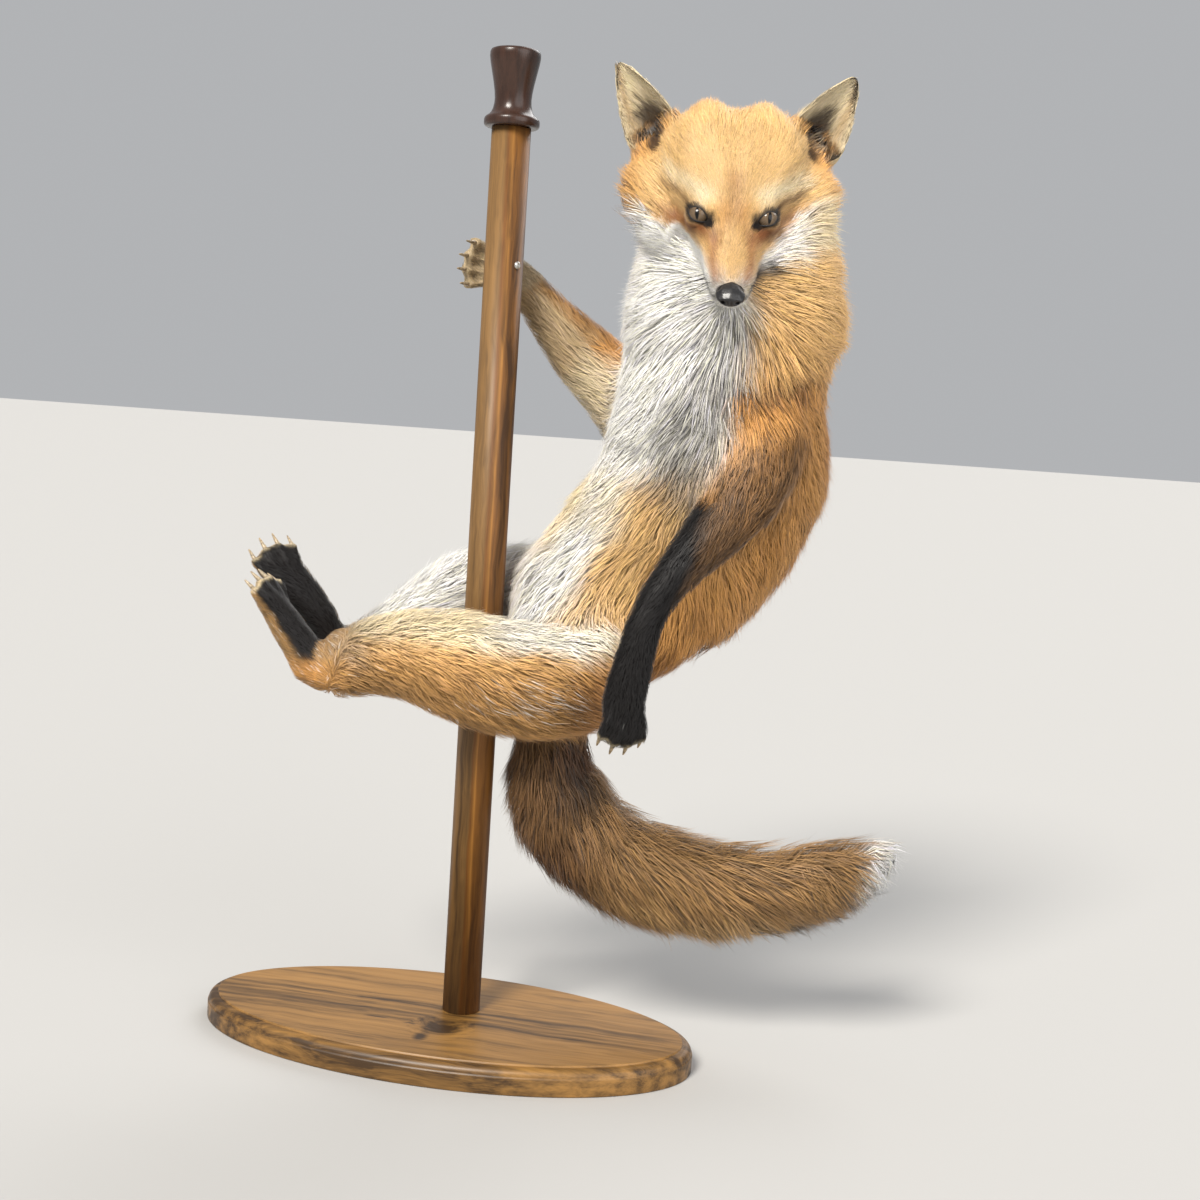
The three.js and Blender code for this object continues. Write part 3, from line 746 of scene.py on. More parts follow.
class Pelt:
    """The fox's outline to the tips of the coat, the skin inside it, and how the hair lies on it."""

    SWELL = 1.7 * MM  # the parts are swollen until they meet across their cuts
    LIDS_OUT = 2.1 * MM  # the lids stand out round the ball by this much
    FACES_KEPT = 0.27  # as a share of the remeshed ones
    DEEPEST = 0.34  # the coat is at most this share of the thickness of the body and coat

    def __init__(self, settings):
        self.build_outline(settings.voxel)
        self.weigh_parts()
        self.sculpt_head()
        self.size_tufts()
        self.comb_coat()
        self.sink_skin()
        self.colours = Markings(self).result()

    def build_outline(self, voxel):
        """One closed surface round all parts of the body."""
        whole = bmesh.new()
        owners = []
        for name in FLESH:
            part = merged(name)
            for vert in part.verts:
                vert.co += vert.normal * self.SWELL
            mesh = mesh_from(part, name)
            whole.from_mesh(mesh)
            bpy.data.meshes.remove(mesh)
            owners += [REGION[name]] * (len(whole.faces) - len(owners))
        for eye in EYES:
            bmesh.ops.create_icosphere(whole, subdivisions=4, matrix=Matrix.Translation(eye.middle),
                                       radius=eye.radius * 1.05 + self.LIDS_OUT + self.SWELL)
            owners += [REGION["head"]] * (len(whole.faces) - len(owners))
        mesh = mesh_from(whole, "outline")
        self.parts_tree = tree_of(corners_of(mesh), triangles_of(mesh))
        self.owners = np.array(owners)
        mesh = self.thinned_out(without_hollows(remeshed(mesh, voxel)))
        self.points, self.faces = corners_of(mesh), triangles_of(mesh)
        edges = np.concatenate([self.faces[:, pair] for pair in ([0, 1], [1, 2], [2, 0])])
        self.edges = np.unique(np.sort(edges), axis=0)

    def thinned_out(self, mesh):
        """Leaves the small faces on the head, ears and feet, and joins them on the big forms."""
        big = [REGION[f"{side}_{limb}"] for side in SIDES for limb in ("thigh", "upper_arm", "shin")]
        big += [REGION[name] for name in TRUNK + TAIL]
        blank = blank_of(mesh)
        group = blank.vertex_groups.new(name="big forms")
        is_big = np.isin(self.nearest_parts(corners_of(mesh)), big)
        group.add(np.flatnonzero(is_big).tolist(), 1.0, "REPLACE")
        decimate = blank.modifiers.new("bigger faces", "DECIMATE")
        decimate.ratio = self.FACES_KEPT
        decimate.vertex_group = group.name
        decimate.vertex_group_factor = 4.0
        decimate.use_collapse_triangulate = True
        return worked(blank)

    def nearest_parts(self, points):
        find = self.parts_tree.find_nearest
        return self.owners[[find(point)[2] for point in points.tolist()]]

    def weigh_parts(self):
        """How much each point belongs to each part, softly across their borders."""
        self.points = spread(self.points, self.edges, 6)
        self.normals = point_normals(self.points, self.faces)
        self.points -= self.normals * self.SWELL
        shares = np.zeros((len(self.points), len(FLESH)))
        shares[np.arange(len(self.points)), self.nearest_parts(self.points)] = 1
        self.shares = spread(shares, self.edges, 10)
        self.ease_joins()
        self.broad_normals = unit(spread(self.normals, self.edges, 25))

    def ease_joins(self):
        """Rounds the creases along the trunk and the tail, and the one between the cheek and the throat."""
        joins = np.zeros(len(self.points))
        for names in (TRUNK, TAIL):
            joins += step(0.99, 0.6, self.shares.max(axis=1)) * step(0.93, 1, self.share(*names))
        jowl = near(folded(in_head_mm(self.points)), [(30, 14, -26), (40, -6, -24), (62, -24, -26)], 13)
        ease = np.clip(np.maximum(joins, jowl * 1.3), 0, 1)
        smooth = spread(self.points, self.edges, 60)
        self.points = blend(self.points, smooth, ease)
        self.normals = point_normals(self.points, self.faces)

    def thickness(self):
        """How thick the body and coat are under each point."""
        tree = tree_of(self.points, self.faces)
        starts = self.points - self.broad_normals * 0.2 * MM
        found = [tree.ray_cast(a, b)[3] for a, b in zip(starts.tolist(), (-self.broad_normals).tolist())]
        missed = 200 * MM  # a ray that slips out through an edge
        return np.array([far if far is not None else missed for far in found])

    def share(self, *names):
        return self.shares[:, [REGION[name] for name in names]].sum(axis=1)

    def sculpt_head(self):
        """Brows, cheekbones, whisker pads and the mouth's line, and the tufts beside the ears."""
        face = folded(in_head_mm(self.points))
        head = self.share("head")
        rise = np.zeros(len(face))
        for height, route, reach in (  # in mm
            (2.4, [(18, 4, 13), (30, -6, 14)], (8, 8, 6)),  # the brow
            (1.4, [(33, 8, -14)], (12, 14, 9)),  # the cheekbone
            (2.6, [(34, 10, -24), (46, -12, -24)], (11, 12, 9)),  # and the fold under it
            (1.8, [(13, 44, -24), (11, 56, -28)], (7, 8, 6)),  # the whisker pad
            (-1.8, [(12, 14, 4), (12, 24, -4)], (5, 8, 6)),  # beside the muzzle's bridge
            (-1.3, [(0, 4, 18), (0, -24, 38)], (6, 14, 14)),  # the forehead's furrow
            (-1.3, MOUTH, 2.0),
            (13.0, [(36, -58, 44), (22, -70, 46)], (15, 30, 22)),  # beside the ears
            (6.0, [(0, -62, 46)], (20, 30, 22)),  # the crown between them
        ):
            rise += height * near(face, route, reach)
        self.points += self.normals * (rise * head * MM)[:, None]
        ears = head + self.share("left_ear", "right_ear")
        cup = near(face, EAR_HOLLOW, (10, 12, 12)) * (7 * head + 0.8 * (ears - head))
        self.points -= (cup * MM)[:, None] * self.broad_normals

    def size_tufts(self):
        """The depth of the coat, and the length and width of its tufts, which are worked out in mm."""
        self.depth, self.length, self.width = (self.shares @ table(COAT)).T
        face = folded(in_head_mm(self.points))
        side, forward, _ = face.T
        head = self.share("head")
        self.cheek = step(36, 60, side) * step(8, -22, forward)
        crown = step(-25, -70, forward)
        lip = step(20, 45, forward)
        depth = blend(blend(3.2 + 6 * crown, 15, self.cheek), 1.9, lip)
        length = blend(blend(8 + 14 * crown, 36, self.cheek), 4.0, lip)
        width = blend(blend(0.52 + 0.25 * crown, 0.85, self.cheek), 0.4, lip)
        self.depth = blend(self.depth, depth, head) * MM
        self.length = blend(self.length, length, head) * MM
        self.width = blend(self.width, width, head) * MM
        for eye in EYES:
            far, out = eye.place(self.points)
            close = step(22 * MM, 12 * MM, far) * step(3.2, 1.4, out)
            self.length *= 1 - 0.55 * close
        cup = near(face, [(61, -54, 22), (62, -72, 22), (62, -90, 28)], (17, 18, 17))
        cup *= head + self.share("left_ear", "right_ear")
        self.length *= 1 - 0.72 * cup
        self.depth *= 1 - 0.75 * cup

    def comb_coat(self):
        """The way that the tufts lie: along each part, away from the nose, and a little downwards."""
        self.lie = self.shares @ lie_of_parts()
        droop = fox(0, 0, -1)
        from_nose = unit(self.points - on_head(*NOSE_TIP))
        self.lie += self.share("head")[:, None] * (from_nose * 1.6 + droop * (0.5 * self.cheek)[:, None])
        from_chin = unit(self.points - on_head(*CHIN))
        self.lie += self.share("neck")[:, None] * (2.2 * from_chin + 0.25 * droop)
        self.lie += self.share("chest")[:, None] * 0.6 * from_chin
        self.lie += self.share(*TAIL)[:, None] * droop
        self.lie += self.share("rump", "belly")[:, None] * 0.3 * droop
        x, _, z = in_fox_mm(self.points).T
        # On the trunk it parts along the edge of the pale side.
        sideways = np.clip((x - pale_edge(z)) / 45, -1, 1) * self.share("chest", "belly", "neck")
        self.lie += sideways[:, None] * fox(0.55, 0, 0)
        # In the ears it grows outwards, and is longest along their inner edge.
        for name, sign in SIDES.items():
            across, up = ear_place(self.points, name, sign)
            front = self.share(f"{name}_ear") * step(-0.1, 0.3, self.broad_normals @ fox(0, -1, 0))
            self.lie += front[:, None] * fox(sign, 0, 0) * 0.9
            self.length += front * (4 + 10 * step(0.1, -0.6, across) * step(0.8, 0.5, up)) * MM
        self.lie -= self.broad_normals * (self.lie * self.broad_normals).sum(axis=1)[:, None]
        self.lie = unit(spread(unit(self.lie), self.edges, 8))

    def sink_skin(self):
        """The skin lies inside the coat's tips by the coat's depth, and round the eyeballs."""
        for foot in FEET:
            for claw in claws_of(foot):
                away = np.linalg.norm(self.points - middle(claw), axis=1)
                self.depth *= 1 - 0.85 * step(15 * MM, 8 * MM, away)
        self.depth = np.minimum(self.depth, self.DEEPEST * spread(self.thickness(), self.edges, 4))
        depth = spread(self.depth, self.edges, 6)
        self.skin = self.points - self.broad_normals * depth[:, None]
        self.skin = spread(self.skin, self.edges, 5)
        for eye in EYES:
            far, out = eye.place(self.skin)
            close = step(EYE_ZONE, 11.5 * MM, far) * step(3.0, 2.2, out)
            ways = unit(self.skin - eye.middle)
            lift = np.where(out < 1.1, -1.0, 0.25)  # sunk under the open eye, over the ball round it
            bed = eye.dome(ways @ eye.gaze) + lift * MM
            self.skin = blend(self.skin, eye.middle + ways * bed[:, None], close)
        self.outline_tree = tree_of(self.points, self.faces)
        self.skin_tree = tree_of(self.skin, self.faces)


# ---------------------------------------------------------------- the markings
def toned(usual, exceptions):
    """A tone for each part: the usual one, except for the parts that are named under another."""
    tones = dict.fromkeys(FLESH, usual)
    for tone, names in exceptions.items():
        tones.update(dict.fromkeys(names.split(), tone))
    return tones


# The tones of each part's back and of its pale side.
BACK_TONES = toned("orange", {
    "gold": "head left_thigh left_shin",
    "tan": "left_hind_paw right_hind_paw right_fore_paw tail_root tail_middle tail_tip",
    "black": "left_ear right_ear left_forearm left_fore_paw",
})
PALE_TONES = toned("cream", {
    "white": "neck chest right_thigh right_shin",
    "gold": "head rump tail_middle",
    "orange": "left_upper_arm",
    "tan": "right_fore_paw tail_tip",
    "brown": "tail_root",
    "black": "left_forearm left_fore_paw left_hind_paw right_hind_paw",
})


def oval(x, y, middle_x, middle_y, half_x, half_y):
    """1 in the middle of a soft oval spot, falling away over its half sizes."""
    return np.exp(-((x - middle_x) / half_x) ** 2 - ((y - middle_y) / half_y) ** 2)


class Markings:
    """The colour of the coat at each point, with the share of dark and of pale hairs mixed into it.

    x, y and z are in the fox's axes, and left, forward and high in the head's, all in mm. Facing is how
    much a point is on its part's pale side, from -1 to 1. Rough and broad are noise, for uneven edges."""

    TONES = ("orange", "rust", "gold", "cream", "white", "tan", "brown", "black", "grey")
    MOST_MIXED = 0.6  # no more than this share of the hairs is dark, or pale

    def __init__(self, pelt):
        settings = bpy.context.scene.fox_coat
        self.tone = {name: np.array(getattr(settings, name)) for name in self.TONES}
        self.pelt = pelt
        self.x, self.y, self.z = in_fox_mm(pelt.points).T
        self.face = in_head_mm(pelt.points)
        self.folded = folded(self.face)
        self.left, self.forward, self.high = self.face.T
        self.rough = noise(pelt.points, 0.018, 11) * 0.6 + noise(pelt.points, 0.007, 12) * 0.4
        self.broad = noise(pelt.points, 0.05, 13)
        pale_ways = pelt.shares @ unit(table(PALE_SIDE)) @ FOX_AXES
        self.facing = (pelt.broad_normals * pale_ways).sum(axis=1)
        self.head = pelt.share("head")
        self.dark = np.zeros(len(self.x))
        self.light = np.zeros(len(self.x))
        for draw in (self.both_sides, self.haunch_top, self.spine, self.front, self.chest, self.throat,
                     self.mask, self.cheeks, self.muzzle, self.eyes, self.ears, self.left_arm, self.toes,
                     self.right_arm, self.haunch, self.heels, self.tail):
            draw()
        self.colour = self.colour * (1 + 0.1 * self.broad + 0.07 * self.rough)[:, None]

    def result(self):
        return (np.clip(self.colour, 0, 1), np.clip(self.dark, 0, self.MOST_MIXED),
                np.clip(self.light, 0, self.MOST_MIXED))

    def parts(self, *names):
        return self.pelt.share(*names)

    def tint(self, tone, share):
        """Moves the colour to a named tone, or to that colour, by that share."""
        colour = self.tone[tone] if isinstance(tone, str) else tone
        self.colour = blend(self.colour, colour, share)

    def between(self, a, b, share):
        """From one named tone to another by that share."""
        return blend(self.tone[a], self.tone[b], share)

    def mark(self, tone, share, route, reach, points=None, within=None):
        """A soft mark along a route in the head's axes, on both sides unless the points say otherwise."""
        points = self.folded if points is None else points
        within = self.head if within is None else within
        amount = share * within * near(points, route, reach) * (1 + 0.25 * self.rough)
        self.tint(tone, np.clip(amount, 0, 1))

    def both_sides(self):
        """Each part's back and pale side, and the border between them."""
        shares, facing, rough = self.pelt.shares, self.facing, self.rough
        self.colour = shares @ np.array([self.tone[BACK_TONES[name]] for name in FLESH])
        pale = shares @ np.array([self.tone[PALE_TONES[name]] for name in FLESH])
        self.trunk = self.parts(*TRUNK)
        turn = step(0.35, 0.72, facing + 0.1 * rough)
        turn = blend(turn, step(-0.05, 0.45, facing + 0.12 * rough), 1 - self.trunk)
        right_leg = self.parts("right_thigh", "right_shin")
        self.turn = blend(turn, step(-0.4, 0.05, facing + 0.12 * rough), right_leg)
        self.tint(pale, self.turn)

    def haunch_top(self):
        """Orange under a pale top that runs on into the belly."""
        ahead = step(-20, -50, self.y)
        height = self.z + 6 * self.rough
        haunch = self.parts("left_thigh", "left_shin", "rump") * ahead
        self.tint(self.between("gold", "orange", 0.6), 0.75 * haunch * step(362, 344, height))
        top = self.parts("left_thigh", "rump", "belly") * ahead * step(346, 360, height)
        top *= step(-20, 20, self.x) * step(135, 80, self.x)
        self.tint(self.between("cream", "white", 0.75), 0.85 * top)

    def spine(self):
        """Rust along the spine, with a few dark hairs."""
        spine = self.trunk * step(0.2, -0.75, self.facing)
        self.tint("rust", 0.55 * spine)
        self.dark += 0.1 * spine

    def front(self):
        """White down the chest and towards the right leg, gold towards the left flank."""
        x, y, z, rough = self.x, self.y, self.z, self.rough
        front = step(-10, -40, y) * self.parts("chest", "belly", "rump")
        white_edge = np.interp(z, [350, 370, 394, 419, 446, 470, 500, 520],
                               [20, 38, 60, 78, 95, 107, 122, 135])
        golden = step(white_edge - 12, white_edge + 26, x + 6 * rough) * step(528, 492, z + 6 * rough)
        flank = step(pale_edge(z) - 2, pale_edge(z) + 14, x + 5 * rough)
        self.tint(self.between("gold", "tan", 0.25 + 0.3 * self.broad), front * golden)
        self.tint(self.between("orange", "tan", 0.2 + 0.3 * self.broad), front * flank)
        self.tint(self.between("cream", "white", step(100, 60, x - white_edge + 60)),
                  front * (1 - golden) * step(470, 440, z) * step(-0.3, 0.1, self.facing))
        inside = self.parts("belly", "rump") * step(70, 35, x) * step(50, 15, y)
        inside *= step(352, 368, z) * step(500, 450, z)
        self.tint("white", 0.9 * inside)

    def chest(self):
        """The ruff, the grizzled edge between the white and the flank, and painted shade in the fold over the
        arm.
        """
        x, y, z = self.x, self.y, self.z
        ruff = self.parts("neck") * step(600, 640, z) * step(10, 40, self.left)
        self.tint("gold", 0.75 * ruff * (1 - self.turn))
        side_line = pale_edge(z) + 5 * self.rough
        chest = self.parts("chest", "neck") * step(-40, -60, y)
        self.tint("orange", chest * step(side_line - 3, side_line + 9, x) * step(680, 640, z))
        ahead = step(-40, -70, y)
        grizzled = self.parts("chest") * step(40, 4, np.abs(x - side_line + 22))
        grizzled *= step(600, 575, z) * ahead
        self.tint("grey", 0.55 * grizzled)
        self.dark += 0.4 * grizzled + 0.07 * self.parts("chest") * ahead * (1 + self.broad)
        body = np.stack([x, y, z], axis=1)
        # painted shade: rust-brown, dark-tipped hair in the fold over the arm
        route = [(170, -112, 583), (186, -110, 577), (214, -103, 571), (242, -90, 578)]
        fold_shade = near(body, route, (12, 16, 8))
        self.tint(self.between("rust", "brown", 0.3), 0.95 * fold_shade)
        self.dark += 0.42 * fold_shade

    def throat(self):
        """White on the right and under the chin, orange on the left, and grizzled between them."""
        left, high = self.left, self.high
        throat = self.parts("neck", "head") * step(-12, -26, high) * step(-75, -20, self.forward)
        to_left = step(8, 22, left + 5 * self.rough)
        ruff_tone = self.between("gold", "orange", 0.2 + 0.2 * self.broad)
        self.tint(blend(self.tone["white"], ruff_tone, to_left), throat)
        beard = throat * step(26, 4, np.abs(left - 2)) * step(-40, -62, high)
        self.tint("grey", 0.42 * beard)
        self.dark += 0.38 * beard
        self.light += 0.2 * beard

    def mask(self):
        """The crown, the spots over the eyes, the patches under them, and the muzzle's sides and top."""
        mark, face = self.mark, self.face
        self.tint("orange", self.head * step(-48, -75, self.forward) * 0.6)
        self.tint("orange", self.head * step(52, 72, self.folded[:, 0]) * 0.55)
        mark("cream", 0.9, [(22, 2, 18), (36, -10, 19), (52, -27, 15)], 7.5)
        mark("rust", 0.5, [(0, -6, 26), (0, 6, 17), (3, 18, 8)], (7, 9, 8))
        mark("orange", 0.5, [(8, 12, 10), (9, 26, 0)], 6)
        mark("rust", 1.0, [(-22, 16, -6), (-30, 4, -9), (-42, -7, -9)], (8, 10, 7), face)
        mark("rust", 1.0, [(20, 18, -7), (30, 5, -9), (46, -9, -6)], (8.5, 10, 7.5), face)
        mark("rust", 0.8, [(14, 28, -7), (15, 44, -14), (12, 58, -20)], (5.5, 8, 6.5))
        mark("gold", 0.8, [(0, 34, -5), (0, 56, -15)], (6.5, 9, 8))
        mark("tan", 0.35, [(0, 24, 0), (0, 60, -16)], (12, 12, 10))
        mark("brown", 0.45, [(26, 12, -10), (33, 4, -12), (40, -3, -12)], (5, 8, 5), face)
        mark("brown", 0.25, [(-22, 16, -8), (-30, 6, -11)], (5, 8, 5), face)
        self.dark += 0.1 * self.head * near(self.folded, [(12, 26, -4), (10, 58, -17)], (8, 12, 8))
        mark("brown", 0.85, [(33, -3, 6), (42, -13, 8), (50, -22, 6)], 2.8)
        mark("black", 0.85, [(17, 17, 2), (14, 25, -3)], 2.6)

    def cheeks(self):
        """White on the right cheek, and a pale stripe on the left one from the lip out to the ear."""
        left, forward, high, rough = self.left, self.forward, self.high, self.rough
        edge = np.interp(forward, [-30, -16, -8, -1, 21, 48, 59, 69], [-6, -10, -13, -18, -20, -21, -25, -29])
        white_cheek = self.head * step(1.5, -1.5, high - edge + 1.2 * rough) * step(-4, -10, left)
        white_cheek *= step(-74, -50, forward) * step(-82, -70, left)
        self.tint("white", white_cheek)
        middle_high = np.interp(left, [20, 30, 42, 55, 70, 90], [-24, -22, -16, -11, -8, -10])
        half = np.interp(left, [20, 40, 60, 90], [4, 6, 11, 14])
        stripe = step(half + 3, half - 2, np.abs(high - middle_high + 1.5 * rough))
        stripe *= (self.parts("head", "neck") * step(18, 24, left) * step(50, 30, forward)
                   * step(-55, -30, forward))
        self.tint(self.between("white", "cream", step(40, 62, left)), 0.9 * stripe)

    def muzzle(self):
        """The white lip and chin, the grey round the whiskers, and the mouth's dark line and corner."""
        mark, face = self.mark, self.face
        head_and_neck = self.parts("head", "neck")
        mark("white", 0.75, [(10, 60, -34), (18, 46, -28)], (4, 8, 4))
        mark("grey", 0.55, [(9, 64, -22), (13, 62, -26)], 5)
        snout = self.head * near(self.folded, [(9, 62, -22), (14, 58, -28)], 7)
        self.dark += 0.35 * snout
        self.light += 0.15 * snout
        mark("white", 0.7, [(0, 60, -45), (0, 40, -48)], (12, 12, 7), within=head_and_neck)
        mark("cream", 0.8, [(12, 68, -26), (17, 58, -25)], 3.2, face)
        mark("black", 1.0, MOUTH, 2.4)
        mark("black", 1.5, [(15, 56, -30), (28, 28, -26)], (4.5, 6, 4.5), face, head_and_neck)

    def eyes(self):
        """Black rims, which run on past both corners. The left eye's outer mark is the longer one."""
        skin = self.pelt.skin
        for eye in EYES:
            far, out = eye.place(skin)
            rim = step(EYE_ZONE, 14 * MM, far) * step(1.75, 1.4, out)
            self.tint("black", 0.9 * rim)
            ways = (skin - eye.middle) / MM
            out_mm, up_mm = ways @ eye.corner, ways @ eye.lid
            close = step(24, 19, far / MM) * step(-4, 2, ways @ eye.gaze)
            inner = oval(out_mm, up_mm, -11.5, -0.8, 4.6, 2.7)
            long = 7.0 if eye.sign > 0 else 4.4
            outer = oval(out_mm, up_mm, 7.5 + long / 2, 0.2, long, 2.6)
            self.tint("black", 0.95 * np.clip(2.3 * close * (inner + outer), 0, 1))

    def ears(self):
        """Black backs, and pale fronts with painted shade: tan and dark tips down the cup's valley, and a
        dark hollow at the foot of the cup.
        """
        for name, sign in SIDES.items():
            ear = self.parts(f"{name}_ear")
            across, up = ear_place(self.pelt.points, name, sign)
            cup = ear * step(-0.15, 0.25, self.facing)
            place = np.stack([across, up, 0 * up], axis=1)
            self.tint("cream", cup * 0.8)
            # painted shade down the valley of the cup: tan, and dark tips
            shaded = cup * near(place, [(0.3, 0.35, 0), (0.35, 0.85, 0)], 0.28)
            self.tint("tan", 0.55 * shaded)
            self.dark += 0.2 * cup * near(place, [(0.3, 0.35, 0), (0.45, 0.9, 0)], 0.35)
            # painted shade: the deep hollow at the foot of the cup is dark brown
            hollow = near(self.folded, [(57, -74, 23), (64, -94, 33)], (12, 16, 13)) * (self.head + ear)
            hollow = step(0.2, 0.6, hollow * (1 + 0.3 * self.rough)) * (sign * self.left > 0)
            self.tint(self.tone["brown"] * 0.3, 0.93 * hollow)
            if name == "left":
                smudge = cup * near(place, [(0.5, 0.82, 0)], (0.5, 0.1, 1))
                self.tint("black", 0.75 * smudge)
            self.tint("gold", ear * step(0.12, -0.02, up) * (1 - hollow))

    def left_arm(self):
        """A dark elbow, and a brown cuff over the black leg."""
        x, z, rough = self.x, self.z, self.rough
        elbow = self.parts("left_upper_arm") * step(510, 472, z + 8 * rough)
        elbow *= step(220, 184, x + 6 * rough)
        self.tint("brown", 0.5 * elbow)
        self.dark += 0.4 * elbow
        outer = np.interp(z, [380, 434, 463, 500], [150, 166, 172, 176])
        cuff = step(outer - 6, outer + 12, x + 6 * rough) * step(380, 425, z)
        cuff *= self.parts("left_forearm", "left_upper_arm")
        self.tint(self.between("brown", "tan", 0.25), 0.85 * cuff)
        self.dark += 0.35 * cuff

    def toes(self):
        """Cream toes, close round the claws."""
        for foot, share in (("left_fore", 0.75), ("left_hind", 0.7), ("right_hind", 0.55)):
            far = [np.linalg.norm(self.pelt.points - middle(claw), axis=1) for claw in claws_of(foot)]
            toes = step(12 * MM, 7 * MM, np.min(far, axis=0) + 2 * MM * self.rough)
            toes *= self.parts(f"{foot}_paw")
            self.tint("cream", share * toes)

    def right_arm(self):
        """Tan and brown, with a paler paw."""
        facing = self.facing
        wrist = self.parts("right_fore_paw", "right_forearm")
        worn = self.between("tan", "brown", 0.35)
        self.tint(worn, 0.6 * self.parts("right_forearm"))
        self.tint(worn, 0.6 * wrist * step(45, 10, self.x))
        self.tint(self.tone["cream"] * 0.75, 0.7 * self.parts("right_fore_paw"))
        self.tint("brown", 0.4 * self.parts("right_forearm") * step(0.1, -0.5, facing))
        self.dark += 0.25 * wrist * step(0.4, -0.3, facing)

    def haunch(self):
        """Tan and brown under the left haunch, partly its own colour and partly painted shade; a painted
        shadow of the arm in rust behind it; a dark whorl and a grey ankle.
        """
        x, y, z = self.x, self.y, self.z
        # partly painted shade: below the haunch, where it faces down, the coat turns tan and in patches brown
        under = self.parts("left_thigh", "left_shin", "rump") * step(352, 318, z + 10 * self.rough)
        under *= step(10, -30, y)
        self.tint(self.between("tan", "orange", 0.35), 0.75 * under)
        self.tint("brown", 0.35 * under * step(-0.1, 0.5, self.broad))
        # painted shadow of the arm: rust on the thigh behind the haunch
        arm_shadow = self.parts("left_thigh", "rump") * step(60, 90, x) * step(370, 330, z)
        self.tint("rust", 0.45 * arm_shadow)
        whorl = oval(x, z, 38, 312, 36, 14) * step(-60, -90, y)
        self.dark += 0.5 * whorl + 0.1 * under
        self.light += 0.3 * whorl
        ankle = oval(x, z, -104, 338, 13, 17) * step(-40, -60, y)
        self.tint("grey", 0.45 * ankle)

    def heels(self):
        """Orange heels, and grizzled backs to the hind feet."""
        hind = self.parts("left_hind_paw", "right_hind_paw")
        back = step(0.5, 0.0, self.facing)
        self.tint("orange", 0.7 * (hind * step(330, 318, self.z)))
        self.dark += 0.2 * hind * back
        self.light += 0.08 * hind * back

    def tail(self):
        """Tan and gold with dark tips, browner towards its root (partly dark hair, partly painted shade from
        the body), a dark spot near its root, and a white end.
        """
        x = self.x
        tail = self.parts(*TAIL)
        # browner towards the root: partly the tail's dark hair, partly painted shade where the body shades
        # the tail
        self.tint("brown", tail * (0.32 + 0.4 * step(150, 60, x)))
        self.dark += 0.28 * tail
        spot = oval(x, self.z, 86, 247, 20, 16) * step(10, -10, self.y)
        self.tint("black", 0.75 * tail * spot)
        end = step(316, 334, x + 8 * self.rough) * self.parts("tail_tip", "tail_middle")
        self.tint("white", end)
        self.dark *= 1 - end


